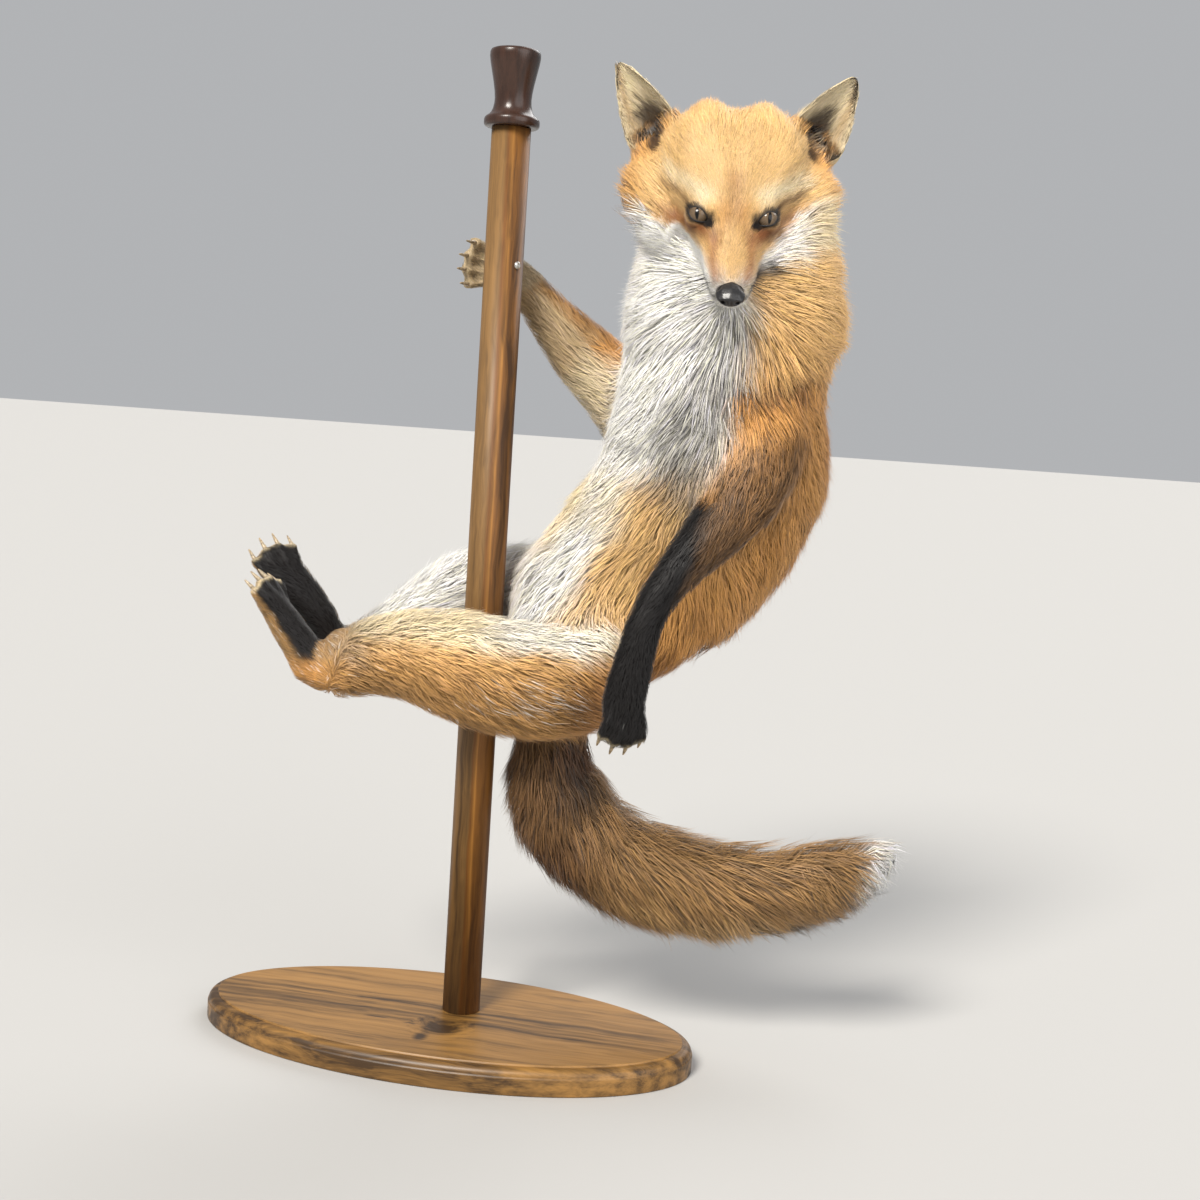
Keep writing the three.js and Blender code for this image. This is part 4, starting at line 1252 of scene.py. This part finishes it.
# ---------------------------------------------------------------- the coat
class Coat:
    """Part of the coat. Its locks are bent wedges of three sides that taper, and its hairs straight ones."""

    SHARP = 0.45  # how much a tuft's own sides show in its shading
    PATCH = 0.003  # how wide a tuft is on the unwrap
    CLUMP = 12  # how many tufts lean together
    STANDS_OFF = 0.16  # where the form curves away, a tip leaves it by up to this share of its tuft

    def __init__(self, pelt, name, parts, locks, hairs, seed, where, underside):
        self.pelt, self.underside = pelt, underside
        self.random = np.random.default_rng(seed)
        self.keep = pelt.share(*parts)
        if where is not None:
            self.keep = self.keep * where
        layers = []
        fullness = bpy.context.scene.fox_coat.fullness
        for count, bent in ((locks, True), (hairs, False)):
            if count:
                self.scatter(int(count * fullness))
                layers.append(self.layer(bent))
        starts = np.cumsum([0] + [len(layer[0]) for layer in layers])
        faces = np.concatenate([layer[1] + start for layer, start in zip(layers, starts)])
        points, normals, colours, places = (
            np.concatenate([layer[i] for layer in layers]) for i in (0, 2, 3, 4)
        )
        mesh = mesh_of(name, points, faces)
        mesh.normals_split_custom_set_from_vertices(normals)
        paint(mesh, colours)
        uvs = mesh.uv_layers.new(name="OFBake")
        uvs.uv.foreach_set("vector", places[faces.reshape(-1)].astype(np.float32).ravel())
        link(bpy.data.objects.new(name, mesh), pelt.fur)

    def at(self, values):
        """Values of the pelt's points, read at the roots."""
        corners = values[self.pelt.faces[self.face]]
        share = self.bary if values.ndim == 1 else self.bary[..., None]
        return (corners * share).sum(axis=1)

    def scatter(self, count):
        """Roots all over the part, closer together where the locks are small."""
        pelt, random, keep = self.pelt, self.random, self.keep
        a, b, c = (pelt.skin[pelt.faces[:, i]] for i in range(3))
        area = np.linalg.norm(np.cross(b - a, c - a), axis=1)
        thin = 1 / (pelt.width * (pelt.length + 4 * MM) ** 0.5)
        wanted = area * (keep * thin * bare_share(pelt))[pelt.faces].mean(axis=1)
        wanted *= keep[pelt.faces].mean(axis=1) > 0.03
        total = np.cumsum(wanted)
        self.face = np.searchsorted(total, random.random(count) * total[-1])
        u, v = random.random((2, count))
        flip = u + v > 1
        u, v = np.where(flip, 1 - u, u), np.where(flip, 1 - v, v)
        self.bary = np.stack([1 - u - v, u, v], axis=1)

    def layer(self, bent):
        """The points, faces, normals, colours and unwrapped places of one layer of tufts."""
        root, bend, tip, normal, tip_normal = self.shape(bent)
        clear = clear_of_eyes(tip)
        self.face, self.bary = self.face[clear], self.bary[clear]
        root, bend, tip, normal, tip_normal = (rows[clear] for rows in (root, bend, tip, normal, tip_normal))
        width = self.at(self.pelt.width) * self.random.uniform(0.7, 1.3, len(root)) * (1 if bent else 0.8)
        points, marks, shading = [], [], []
        for t in (0.0, 0.5) if bent else (0.0,):
            middle_line = (1 - t) ** 2 * root + 2 * t * (1 - t) * bend + t * t * tip
            along = unit((1 - t) * (bend - root) + t * (tip - bend))
            across = unit(np.cross(along, normal))
            above = np.cross(across, along)
            half = (width * (0.5 - 0.12 * t))[:, None]
            for sign, rise in ((-1, 0), (1, 0), (0, 0.75)):
                points.append(middle_line + across * half * sign + above * half * rise)
                # A coat shades as one soft body, so each tuft mostly takes its normal from the form.
                form = (1 - t) * normal + t * tip_normal
                shading.append(unit(form + self.SHARP * (across * sign + above * rise)))
                marks.append(t)
        points.append(tip)
        shading.append(tip_normal)
        marks.append(1.0)
        points, shading, marks = np.stack(points, axis=1), np.stack(shading, axis=1), np.array(marks)
        count, each = points.shape[:2]
        faces = (np.arange(count) * each)[:, None, None] + wedge_faces(2 if bent else 1)
        # Each tuft is a small patch at its root's place on the skin's unwrap.
        half = self.PATCH / 2
        across = np.array([-half, half, 0.35 * half])[np.arange(each) % 3]
        across[-1] = 0
        patch = np.stack([across, (marks * 2 - 1) * half], axis=-1)
        places = self.root_places()[:, None, :] + patch
        colours = self.colour(marks)
        return (points.reshape(-1, 3), faces.reshape(-1, 3), shading.reshape(-1, 3), colours.reshape(-1, 3),
                places.reshape(-1, 2))

    def shape(self, bent):
        """Where each tuft starts, its bend and its tip, which lies on or near the coat's outline."""
        pelt, random = self.pelt, self.random
        count = len(self.face)
        root, normal = self.at(pelt.skin), unit(self.at(pelt.broad_normals))
        outer = self.at(pelt.points)
        length = self.at(pelt.length) * random.uniform(0.7, 1.15, count)
        lie = self.at(pelt.lie)
        side = np.cross(normal, lie)
        sway = random.normal(0, 0.15 if bent else 0.2, count)
        sway += 0.35 * noise(root, 0.02, 31) + 0.2 * noise(root, 0.007, 32)
        lie = unit(lie * np.cos(sway)[:, None] + side * np.sin(sway)[:, None])
        aim = outer + lie * length[:, None]
        found = [pelt.outline_tree.find_nearest(point) for point in aim.tolist()]
        tip = np.array([hit[0] for hit in found])
        tip_normal = np.array([hit[1] for hit in found])
        # Hair is stiff, so it leaves a form that curves away under it.
        stiff = random.beta(1.6, 4, count) * (0.7 if bent else 1.0)
        leave = (aim - tip) * stiff[:, None]
        most = self.STANDS_OFF * length
        leave *= np.minimum(1, most / np.maximum(np.linalg.norm(leave, axis=1), 1e-6))[:, None]
        lift = random.beta(5, 2.2, count) * 1.16
        deep = self.at(pelt.depth)
        tip += leave - tip_normal * (deep * (1 - lift))[:, None]
        if not bent:
            # The right hind leg has the loosest fringe, and the belly and chest half as much.
            fringe = self.at(pelt.share("right_thigh", "right_shin") + 0.5 * pelt.share("belly", "chest"))
            stray = random.random(count) < 0.18 + 0.25 * fringe
            stray = stray * random.uniform(0.02, 0.14 + 0.22 * fringe) * length
            tip += tip_normal * stray[:, None]
        tip = self.gather(root, tip)
        # In a fold the outline can be under the skin, but no hair is.
        found = [pelt.skin_tree.find_nearest(point) for point in tip.tolist()]
        foot_normal = np.array([hit[1] for hit in found])
        height = ((tip - np.array([hit[0] for hit in found])) * foot_normal).sum(axis=1)
        least = np.minimum(0.09 * length, 2.4 * MM) * random.uniform(0.3, 1, count)
        tip += foot_normal * np.maximum(least - height, 0)[:, None]
        deep = np.maximum(deep, 0.08 * length)
        bend = root + normal * (deep * 0.75)[:, None] + (tip - root) * 0.32
        return *clear_of_pole(root, bend, tip), normal, tip_normal

    def gather(self, root, tip):
        """Draws the tips of neighbouring tufts together, as hair clumps."""
        count = len(root)
        leaders = self.random.choice(count, max(1, count // self.CLUMP), replace=False)
        tree = KDTree(len(leaders))
        for i, leader in enumerate(leaders):
            tree.insert(root[leader], i)
        tree.balance()
        nearest = leaders[[tree.find(point)[1] for point in root.tolist()]]
        pull = self.random.uniform(0.15, 0.6, count)[:, None]
        return tip + (tip[nearest] + (root - root[nearest]) * 0.3 - tip) * pull

    def root_places(self):
        corners = self.pelt.unwrap[self.face]
        return (corners * self.bary[..., None]).sum(axis=1)

    def colour(self, marks):
        """Hair is darker and greyer at its root, and some hairs are dark or pale at their tips."""
        random = self.random
        base, dark, light = (self.at(values) for values in self.pelt.colours)
        count = len(base)
        base = base * random.normal(1, 0.12, count).clip(0.6, 1.4)[:, None]
        base[:, 2] *= random.normal(1, 0.08, count)
        settings = bpy.context.scene.fox_coat
        tip = base * 1.08
        dusky = (random.random(count) < dark) * random.uniform(0.5, 0.95, count)
        tip = blend(tip, np.array(settings.black), dusky)
        pale = (random.random(count) < light) * random.uniform(0.5, 0.9, count)
        tip = blend(tip, np.array(settings.white), pale)
        root = blend(base * self.underside, np.array(settings.grey) * base.mean(axis=1)[:, None] * 1.7, 0.1)
        share = np.clip(marks * 1.3, 0, 1)[..., None]
        return np.clip(root[:, None, :] * (1 - share) + tip[:, None, :] * share, 0, 1)


def wedge_faces(rings):
    """The faces of one wedge: its foot, its sides and its point."""
    faces = [(0, 1, 2)]
    for r in range(rings - 1):
        for k in range(3):
            a, b = 3 * r + k, 3 * r + (k + 1) % 3
            faces += [(a, b + 3, b), (a, a + 3, b + 3)]
    last = 3 * (rings - 1)
    faces += [(last + (k + 1) % 3, last + k, last + 3) for k in range(3)]
    return np.array(faces)


def clear_of_eyes(tips):
    """False for hair that would hang over an open eye."""
    clear = np.ones(len(tips), bool)
    for eye in EYES:
        far, out = eye.place(tips)
        clear &= ~((far < EYE_ZONE) & (out < 1.1))
    return clear


def bare_share(pelt):
    """0 where no hair grows: in the open eyes, where the pole touches the skin, and under the nose pad."""
    hairy = np.ones(len(pelt.skin))
    for eye in EYES:
        far, out = eye.place(pelt.skin)
        hairy *= 1 - step(EYE_ZONE, 15 * MM, far) * step(1.35, 1.2, out)
    from_pole = np.hypot(*(pelt.skin - POLE_FOOT)[:, :2].T)
    hairy *= step(POLE_RADIUS + 1 * MM, POLE_RADIUS + 2.5 * MM, from_pole)
    left, forward, high = in_head_mm(pelt.skin).T
    nose = step(63, 66, forward) * step(14, 12, np.abs(left)) * step(24, 18, np.abs(high - NOSE_TIP[2]))
    hairy *= 1 - nose
    return hairy


def clear_of_pole(root, bend, tip):
    """Moves points that lie in the pole out to its surface."""
    moved = []
    least = POLE_RADIUS + POLE_GAP
    for points in (root, bend, tip):
        away = (points - POLE_FOOT)[:, :2]
        far = np.linalg.norm(away, axis=1)
        inside = (far < least) & (points[:, 2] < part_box("stand_pole")[1].z)
        points = points.copy()
        out = away / np.maximum(far, 1e-6)[:, None] * least + POLE_FOOT[:2]
        points[inside, :2] = out[inside]
        moved.append(points)
    return moved


def unwrap_of(obj):
    """The skin's own unwrap, as three corners for each face."""
    bpy.context.view_layer.objects.active = obj
    obj.select_set(True)
    bpy.ops.object.mode_set(mode="EDIT")
    bpy.ops.mesh.select_all(action="SELECT")
    bpy.ops.uv.smart_project(angle_limit=math.radians(66), island_margin=0.002)
    bpy.ops.object.mode_set(mode="OBJECT")
    obj.select_set(False)
    flat = np.empty(len(obj.data.loops) * 2, np.float32)
    obj.data.uv_layers.active.uv.foreach_get("vector", flat)
    return flat.reshape(-1, 3, 2)


# ---------------------------------------------------------------- operators
class FoxState:
    """What one operator leaves for the next."""

    pelt = None


class FOX_OT_skin(bpy.types.Operator):
    """Makes one skin in place of all parts of the body"""

    bl_idname = "fox.skin"
    bl_label = "Skin"

    SHADE = 0.86  # painted shade: the skin that shows between the locks is darker than the coat on it

    def execute(self, context):
        FoxState.pelt = pelt = Pelt(context.scene.fox_coat)
        mesh = mesh_of("skin", pelt.skin, pelt.faces)
        paint(mesh, pelt.colours[0] * self.SHADE)
        skin = link(bpy.data.objects.new("skin", mesh), hide_material())
        pelt.unwrap = unwrap_of(skin)
        pelt.fur = fur_material()
        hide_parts(*FLESH)
        return {"FINISHED"}


class FOX_OT_coat(bpy.types.Operator):
    """Grows the coat on the skin, in locks"""

    bl_idname = "fox.coat"
    bl_label = "Coat"

    # Each piece: the parts that it grows on, how many locks and hairs it has, and how bright their
    # undersides are.
    PIECES = [
        ("coat_face", "head", 0, 42000, 0.84),
        ("coat_cheeks", "head", 9000, 22000, 0.8),
        ("coat_ears", "left_ear right_ear", 0, 20000, 0.8),
        ("coat_neck", "neck", 10000, 22000, 0.8),
        ("coat_chest", "chest left_upper_arm", 10000, 20000, 0.8),
        ("coat_belly", "belly rump", 7000, 14000, 0.8),
        ("coat_left_hind_leg", "left_thigh left_shin left_hind_paw", 9000, 22000, 0.8),
        ("coat_right_hind_leg", "right_thigh right_shin right_hind_paw", 5500, 13000, 0.8),
        ("coat_forelegs", "left_forearm left_fore_paw right_upper_arm right_forearm right_fore_paw",
         5000, 22000, 0.72),
        ("coat_tail", "tail_root tail_middle tail_tip", 9500, 20000, 0.72),
    ]

    def execute(self, context):
        pelt = FoxState.pelt
        if pelt is None:
            raise RuntimeError("the coat grows on the skin, so make the skin first")
        long_haired = step(13 * MM, 16 * MM, pelt.length)
        where = {"coat_face": 1 - long_haired, "coat_cheeks": long_haired}
        for seed, (name, parts, locks, hairs, underside) in enumerate(self.PIECES, 1):
            Coat(pelt, name, parts.split(), locks, hairs, seed, where.get(name), underside)
        return {"FINISHED"}


class FOX_OT_eyes(bpy.types.Operator):
    """Makes the glass eyes and the dark rims of their lids"""

    bl_idname = "fox.eyes"
    bl_label = "Eyes"

    def execute(self, context):
        glass = eye_material(np.array(context.scene.fox_stand.iris))
        leather = wet_leather_material("eyelid_skin", 1600.0, 0.6, 0.1)
        for eye in EYES:
            self.eyeball(eye, glass)
            self.lids(eye, leather)
        return {"FINISHED"}

    def eyeball(self, eye, glass):
        bm = bmesh.new()
        bmesh.ops.create_uvsphere(bm, u_segments=72, v_segments=48, radius=1)
        place = bm.verts.layers.float_vector.new("eye_place")
        slit = fox(0.06 * eye.sign, 0, 1)  # the pupils lean out a little at the top
        upright = unit(slit - eye.gaze * (slit @ eye.gaze))
        axes = np.stack([np.cross(upright, eye.gaze), upright, eye.gaze])
        for vert in bm.verts:
            vert[place] = vert.co
            vert.co = Vector(np.array(vert.co) * eye.dome(vert.co.z) @ axes + eye.middle)
        piece = object_from(bm, f"{eye.name}_eyeball", glass)
        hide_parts(f"{eye.name}_eye")

    def lids(self, eye, leather):
        """A closed band round the opening: rows of a share of its size and a height over the ball in mm."""
        rows = [(0.97, -0.5), (0.975, 0.1), (1.0, 0.35), (1.08, 0.5), (1.2, 0.45), (1.32, -0.1),
                (1.34, -0.9)]
        bm = bmesh.new()
        loops = [loop_of(bm, eye.ring(share, height * MM, 56)) for share, height in rows]
        for inner, outer in zip(loops, loops[1:] + loops[:1]):
            bmesh.ops.bridge_loops(bm, edges=inner + outer)
        piece = object_from(bm, f"{eye.name}_eyelids", leather)
        smooth_surface(piece, 1)


class FOX_OT_nose(bpy.types.Operator):
    """Makes the nose with its nostrils"""

    bl_idname = "fox.nose"
    bl_label = "Nose"

    CELL = 0.5 * MM  # the grain of its surface

    def execute(self, context):
        bm = bmesh.new()
        bm.from_mesh(remeshed(mesh_from(merged("nose"), "nose"), self.CELL))
        for _ in range(8):
            bmesh.ops.smooth_vert(bm, verts=bm.verts, factor=0.5, use_axis_x=True, use_axis_y=True,
                                  use_axis_z=True)
        place = in_head_mm(np.array([vert.co for vert in bm.verts]))
        face = folded(place)
        back = 3.4 * near(face, [(4.6, 80, -30.5), (5.6, 78, -31.5)], (1.9, 9, 1.5))  # the nostrils
        back += 1.8 * near(face, [(6.5, 77, -32.3), (9.5, 72, -32.6)], (1.6, 6, 0.8))  # their side slits
        back += 0.7 * near(face, [(0, 80, -30), (0, 78, -38)], (0.7, 6, 3))  # the groove under them
        narrow = place[:, 0] * 0.3 * step(-30, -38, place[:, 2])
        flat = 0.16 * (place[:, 2] + 26) * step(-26, -27, place[:, 2])
        for vert, shift, inward, up in zip(bm.verts, back, narrow, flat):
            vert.co -= Vector((HEAD_AXES[1] * shift + HEAD_AXES[0] * inward + HEAD_AXES[2] * up) * MM)
        leather = wet_leather_material("nose_leather", 900.0, 0.42, 0.3)
        piece = object_from(bm, "nose_pad", leather)
        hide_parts("nose")
        return {"FINISHED"}


class FOX_OT_claws(bpy.types.Operator):
    """Makes the claws, as one piece for each foot"""

    bl_idname = "fox.claws"
    bl_label = "Claws"

    def execute(self, context):
        horn = horn_material(np.array(context.scene.fox_stand.horn))
        for foot in FEET:
            names = claws_of(foot)
            bm = bmesh.new()
            for name in names:
                mesh = mesh_from(self.claw(name, foot), name)
                bm.from_mesh(mesh)
                bpy.data.meshes.remove(mesh)
            piece = object_from(bm, f"{foot}_claws", horn)
            smooth_surface(piece, 2)
            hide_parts(*names)
        return {"FINISHED"}

    def claw(self, name, foot):
        """The node's claw with its root set deeper in the toe, and its point drawn out and hooked."""
        claw = merged(name)
        paw = Vector(middle(f"{foot}_paw"))
        sole = Vector(-(unit(np.array(PALE_SIDE[f"{foot}_paw"])) @ FOX_AXES))
        centre = sum((vert.co for vert in claw.verts), Vector()) / len(claw.verts)
        inward = (paw - centre).normalized()
        for vert in claw.verts:
            vert.co += vert.normal * 0.45 * MM
            out = -(vert.co - centre).dot(inward) / MM
            vert.co += inward * (3.5 if out < 0 else 0.6 * out) * MM
            vert.co += sole * max(out, 0) ** 2 * 0.06 * MM
        return claw


class FOX_OT_whiskers(bpy.types.Operator):
    """Makes the whiskers, swept back from the muzzle"""

    bl_idname = "fox.whiskers"
    bl_label = "Whiskers"

    ROWS, RANKS = 2, 4  # on each side
    THICK = 0.56 * MM  # at the root
    CORNERS = 14  # along each whisker

    def execute(self, context):
        random = np.random.default_rng(21)
        curve = bpy.data.curves.new("whiskers", "CURVE")
        curve.dimensions = "3D"
        curve.bevel_depth = self.THICK / 2
        curve.bevel_resolution = 1
        curve.use_fill_caps = True
        for side in SIDES.values():
            for i in range(self.ROWS * self.RANKS):
                row, rank = divmod(i, self.RANKS)
                root = np.array([side * (12.5 + 0.5 * row), 57 - 5 * rank, -24 - 3.2 * row])
                length = random.uniform(34, 58)
                down = -0.55 - 0.3 * row + 0.1 * random.normal()
                way = unit(np.array([side * 1.0, -0.25 - 0.14 * rank, down]))
                hang = np.array([0, -0.5, -0.6]) * length * 0.35
                spline = curve.splines.new("POLY")
                spline.points.add(self.CORNERS - 1)
                for k, point in enumerate(spline.points):
                    t = k / (self.CORNERS - 1)
                    place = on_head(*(root + way * length * t + hang * t * t))
                    point.co = (*place, 1)
                    point.radius = 1 - 0.85 * t
        mesh = worked(blank_of(curve))
        mesh.materials.clear()
        link(bpy.data.objects.new("whiskers", mesh), whisker_material())
        return {"FINISHED"}


class FOX_OT_stand(bpy.types.Operator):
    """Makes the oval base, the pole, its finial and the screw"""

    bl_idname = "fox.stand"
    bl_label = "Stand"

    BASE_SIDES = 192
    SCREW_SIDES = 32

    def execute(self, context):
        stand = context.scene.fox_stand
        pale, dark, walnut = (np.array(c) for c in (stand.pale_wood, stand.dark_wood, stand.walnut))
        top = float(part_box("stand_base")[1].z)
        knots = [
            ((0.006, -0.036, top), (0.02, 0.02, 0.02)),
            ((-0.052, -0.03, top), (0.012, 0.0013, 0.01)),  # two cracks
            ((-0.02, -0.034, top), (0.009, 0.0013, 0.01)),
            ((-0.004, -0.058, top), (0.008, 0.012, 0.01)),
        ]
        self.base(wood_material("stained_pine_board", (24, 1, 1), pale, dark, 0.42, knots,
                                edge=top - 1.2 * MM))
        # the pole's bands hold a painted sheen and a painted highlight line
        self.pole(stand.sides, wood_material("stained_pine_pole", (1, 1, 30), pale * 0.78, dark, 0.6,
                                             stripe_x=float(POLE_FOOT[0]) + 2 * MM))
        self.finial(stand.sides, wood_material("stained_walnut", (1, 1, 12), walnut, walnut * 0.3, 0.26))
        self.screw(np.array(stand.steel))
        return {"FINISHED"}

    def base(self, wood):
        """The moulded edge, as rows of inset and height in mm: a flat side, a round, a fillet and the top."""
        low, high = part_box("stand_base")
        a, b, thick = float(high.x - low.x) / 2, float(high.y - low.y) / 2, float(high.z) / MM
        rows = [(0.8, 0), (0.2, 0.3), (0, 0.9), (0, thick - 9.2), (0.15, thick - 8.6)]
        rows += [(0.6 + 6.6 * (1 - math.cos(t)), thick - 8.4 + 6.7 * math.sin(t))
                 for t in np.linspace(0, 1.5, 9)]
        rows += [(8.3, thick - 1.6), (8.5, thick - 1.4), (8.6, thick - 0.3), (9.0, thick)]
        turn = np.arange(self.BASE_SIDES) * 2 * math.pi / self.BASE_SIDES
        outline = np.stack([a * np.cos(turn), b * np.sin(turn), 0 * turn], axis=1)
        outward = unit(np.stack([np.cos(turn) / a, np.sin(turn) / b, 0 * turn], axis=1))
        bm = bmesh.new()
        loops = [loop_of(bm, outline - outward * inset * MM + np.array([0, 0, up * MM]))
                 for inset, up in rows]
        for lower, upper in zip(loops, loops[1:]):
            bmesh.ops.bridge_loops(bm, edges=lower + upper)
        bmesh.ops.contextual_create(bm, geom=loops[0])
        bmesh.ops.contextual_create(bm, geom=loops[-1])
        piece = object_from(bm, "base_board", wood)
        flat_ends(piece)
        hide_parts("stand_base")

    def pole(self, sides, wood):
        low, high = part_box("stand_pole")
        bm = bmesh.new()
        bmesh.ops.create_cone(bm, cap_ends=True, segments=sides, radius1=POLE_RADIUS,
                              radius2=POLE_RADIUS, depth=high.z - low.z)
        bmesh.ops.translate(bm, verts=bm.verts, vec=(*POLE_FOOT[:2], (low.z + high.z) / 2))
        piece = object_from(bm, "pole", wood)
        flat_ends(piece)
        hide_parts("stand_pole")

    def finial(self, sides, wood):
        """A turned knob on a collar, as radius and height in mm."""
        low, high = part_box("stand_finial")
        profile = [(0, 0), (20.6, 0), (21.6, 0.5), (22.3, 1.6), (22.5, 3.2), (22.5, 5.4), (22.0, 7.0),
                   (20.8, 8.2), (19.0, 9.4), (17.2, 11.4), (15.8, 14.6), (15.0, 18.6), (14.8, 22.4),
                   (15.3, 28), (16.5, 35), (18.2, 43), (19.7, 50), (20.5, 55), (20.4, 58.4),
                   (19.6, 60.2), (18.0, 61), (0, 61)]
        bm = turned(profile, sides, stretch=float(high.z - low.z) / (profile[-1][1] * MM))
        bmesh.ops.translate(bm, verts=bm.verts, vec=(*POLE_FOOT[:2], low.z))
        piece = object_from(bm, "finial", wood)
        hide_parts("stand_finial")

    def screw(self, colour):
        """A round head with a round recess in its top, as radius and height in mm."""
        centre = middle("stand_screw")
        outward = unit((centre - POLE_FOOT) * (1, 1, 0))
        foot = POLE_FOOT + outward * POLE_RADIUS + np.array([0, 0, centre[2]])
        profile = [(0, 0), (3.1, 0), (3.2, 0.5), (2.9, 1.1), (2.2, 1.7), (1.3, 2.0), (0.9, 2.05), (0.6, 1.2),
                   (0, 1.0)]
        bm = turned(profile, self.SCREW_SIDES)
        aim = Vector(outward).to_track_quat("Z", "Y").to_matrix().to_4x4()
        bmesh.ops.transform(bm, matrix=Matrix.Translation(foot) @ aim, verts=bm.verts)
        piece = object_from(bm, "screw_head", steel_material(colour))
        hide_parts("stand_screw")


class FOX_OT_stage(bpy.types.Operator):
    """Sets up the floor, the soft lights and the camera"""

    bl_idname = "fox.stage"
    bl_label = "Stage"

    def execute(self, context):
        self.floor()
        self.lights(context.scene)
        self.camera(context.scene)
        return {"FINISHED"}

    def floor(self):
        bm = bmesh.new()
        bmesh.ops.create_grid(bm, x_segments=1, y_segments=1, size=20)
        bmesh.ops.translate(bm, verts=bm.verts, vec=(0, 0, -0.2 * MM))
        mesh = mesh_from(bm, "floor")
        floor = bpy.data.objects.new("floor", mesh)
        bpy.context.scene.collection.objects.link(floor)
        # Matt studio paper: pale, with hardly any gloss.
        material, _ = new_material("studio_paper")
        mesh.materials.append(surfaced(material, {
            "Base Color": rgba(linear("#B3B2B0")), "Roughness": 0.9, "Specular IOR Level": 0.1,
        }))

    def lights(self, scene):
        world = bpy.data.worlds.new("studio")
        world.use_nodes = True
        sky = world.node_tree.nodes["Background"]
        sky.inputs["Color"].default_value = rgba(linear("#F2F4F7"))
        sky.inputs["Strength"].default_value = 0.5
        scene.world = world
        scene.view_settings.view_transform = "Standard"
        for name, way, strength, softness, colour in (  # softness is how wide the lamp looks, in degrees
            ("key", (-0.28, -1.0, 0.95), 4.3, 20, "#FFFAF2"),
            ("fill", (1.0, -0.7, 0.5), 1.3, 50, "#FBFAFA"),
            ("rim", (0.3, 0.9, 0.8), 1.3, 40, "#FFFFFF"),
        ):
            lamp = bpy.data.lights.new(name, "SUN")
            lamp.energy = strength
            lamp.angle = math.radians(softness)
            lamp.color = linear(colour)
            obj = bpy.data.objects.new(name, lamp)
            scene.collection.objects.link(obj)
            obj.matrix_world = Vector(way).to_track_quat("Z", "Y").to_matrix().to_4x4()

    def camera(self, scene):
        """In front of the fox, tilted down and rolled a little. Its place is in the fox's axes."""
        tilt, roll = math.radians(6.8), math.radians(3.75)
        place = POLE_FOOT + np.array([96.0, -1404.7, 550.2]) * MM @ FOX_AXES
        ahead = np.array([0, math.cos(tilt), -math.sin(tilt)])
        level, upright = np.array([1.0, 0, 0]), np.array([0, math.sin(tilt), math.cos(tilt)])
        right = math.cos(roll) * level + math.sin(roll) * upright
        above = -math.sin(roll) * level + math.cos(roll) * upright
        axes = np.stack([right, above, -ahead]) @ FOX_AXES
        matrix = np.eye(4)
        matrix[:3, :3] = axes.T
        matrix[:3, 3] = place
        data = bpy.data.cameras.new("camera")
        data.sensor_width = 36
        data.lens = 51
        camera = bpy.data.objects.new("camera", data)
        camera.matrix_world = Matrix(matrix.tolist())
        scene.collection.objects.link(camera)
        scene.camera = camera


CLASSES = [FoxCoat, FoxStand, FOX_OT_stand, FOX_OT_skin, FOX_OT_coat, FOX_OT_eyes, FOX_OT_nose,
           FOX_OT_claws, FOX_OT_whiskers, FOX_OT_stage]


class FOX_PT_sidebar(bpy.types.Panel):
    """Lists the pieces of the fox and their settings"""

    bl_idname = "FOX_PT_sidebar"
    bl_label = "Red fox"
    bl_space_type = "VIEW_3D"
    bl_region_type = "UI"
    bl_category = "Red fox"

    def draw(self, context):
        for group in (context.scene.fox_coat, context.scene.fox_stand):
            for name in group.__annotations__:
                self.layout.prop(group, name)
        for cls in CLASSES:
            if issubclass(cls, bpy.types.Operator):
                self.layout.operator(cls.bl_idname)


def register():
    for cls in CLASSES + [FOX_PT_sidebar]:
        bpy.utils.register_class(cls)
    bpy.types.Scene.fox_coat = bpy.props.PointerProperty(type=FoxCoat)
    bpy.types.Scene.fox_stand = bpy.props.PointerProperty(type=FoxStand)


def unregister():
    del bpy.types.Scene.fox_stand
    del bpy.types.Scene.fox_coat
    for cls in reversed(CLASSES + [FOX_PT_sidebar]):
        bpy.utils.unregister_class(cls)


def main():
    register()
    for name in ("stage", "stand", "skin", "coat", "eyes", "nose", "claws", "whiskers"):
        getattr(bpy.ops.fox, name)()


if __name__ == "__main__":
    main()
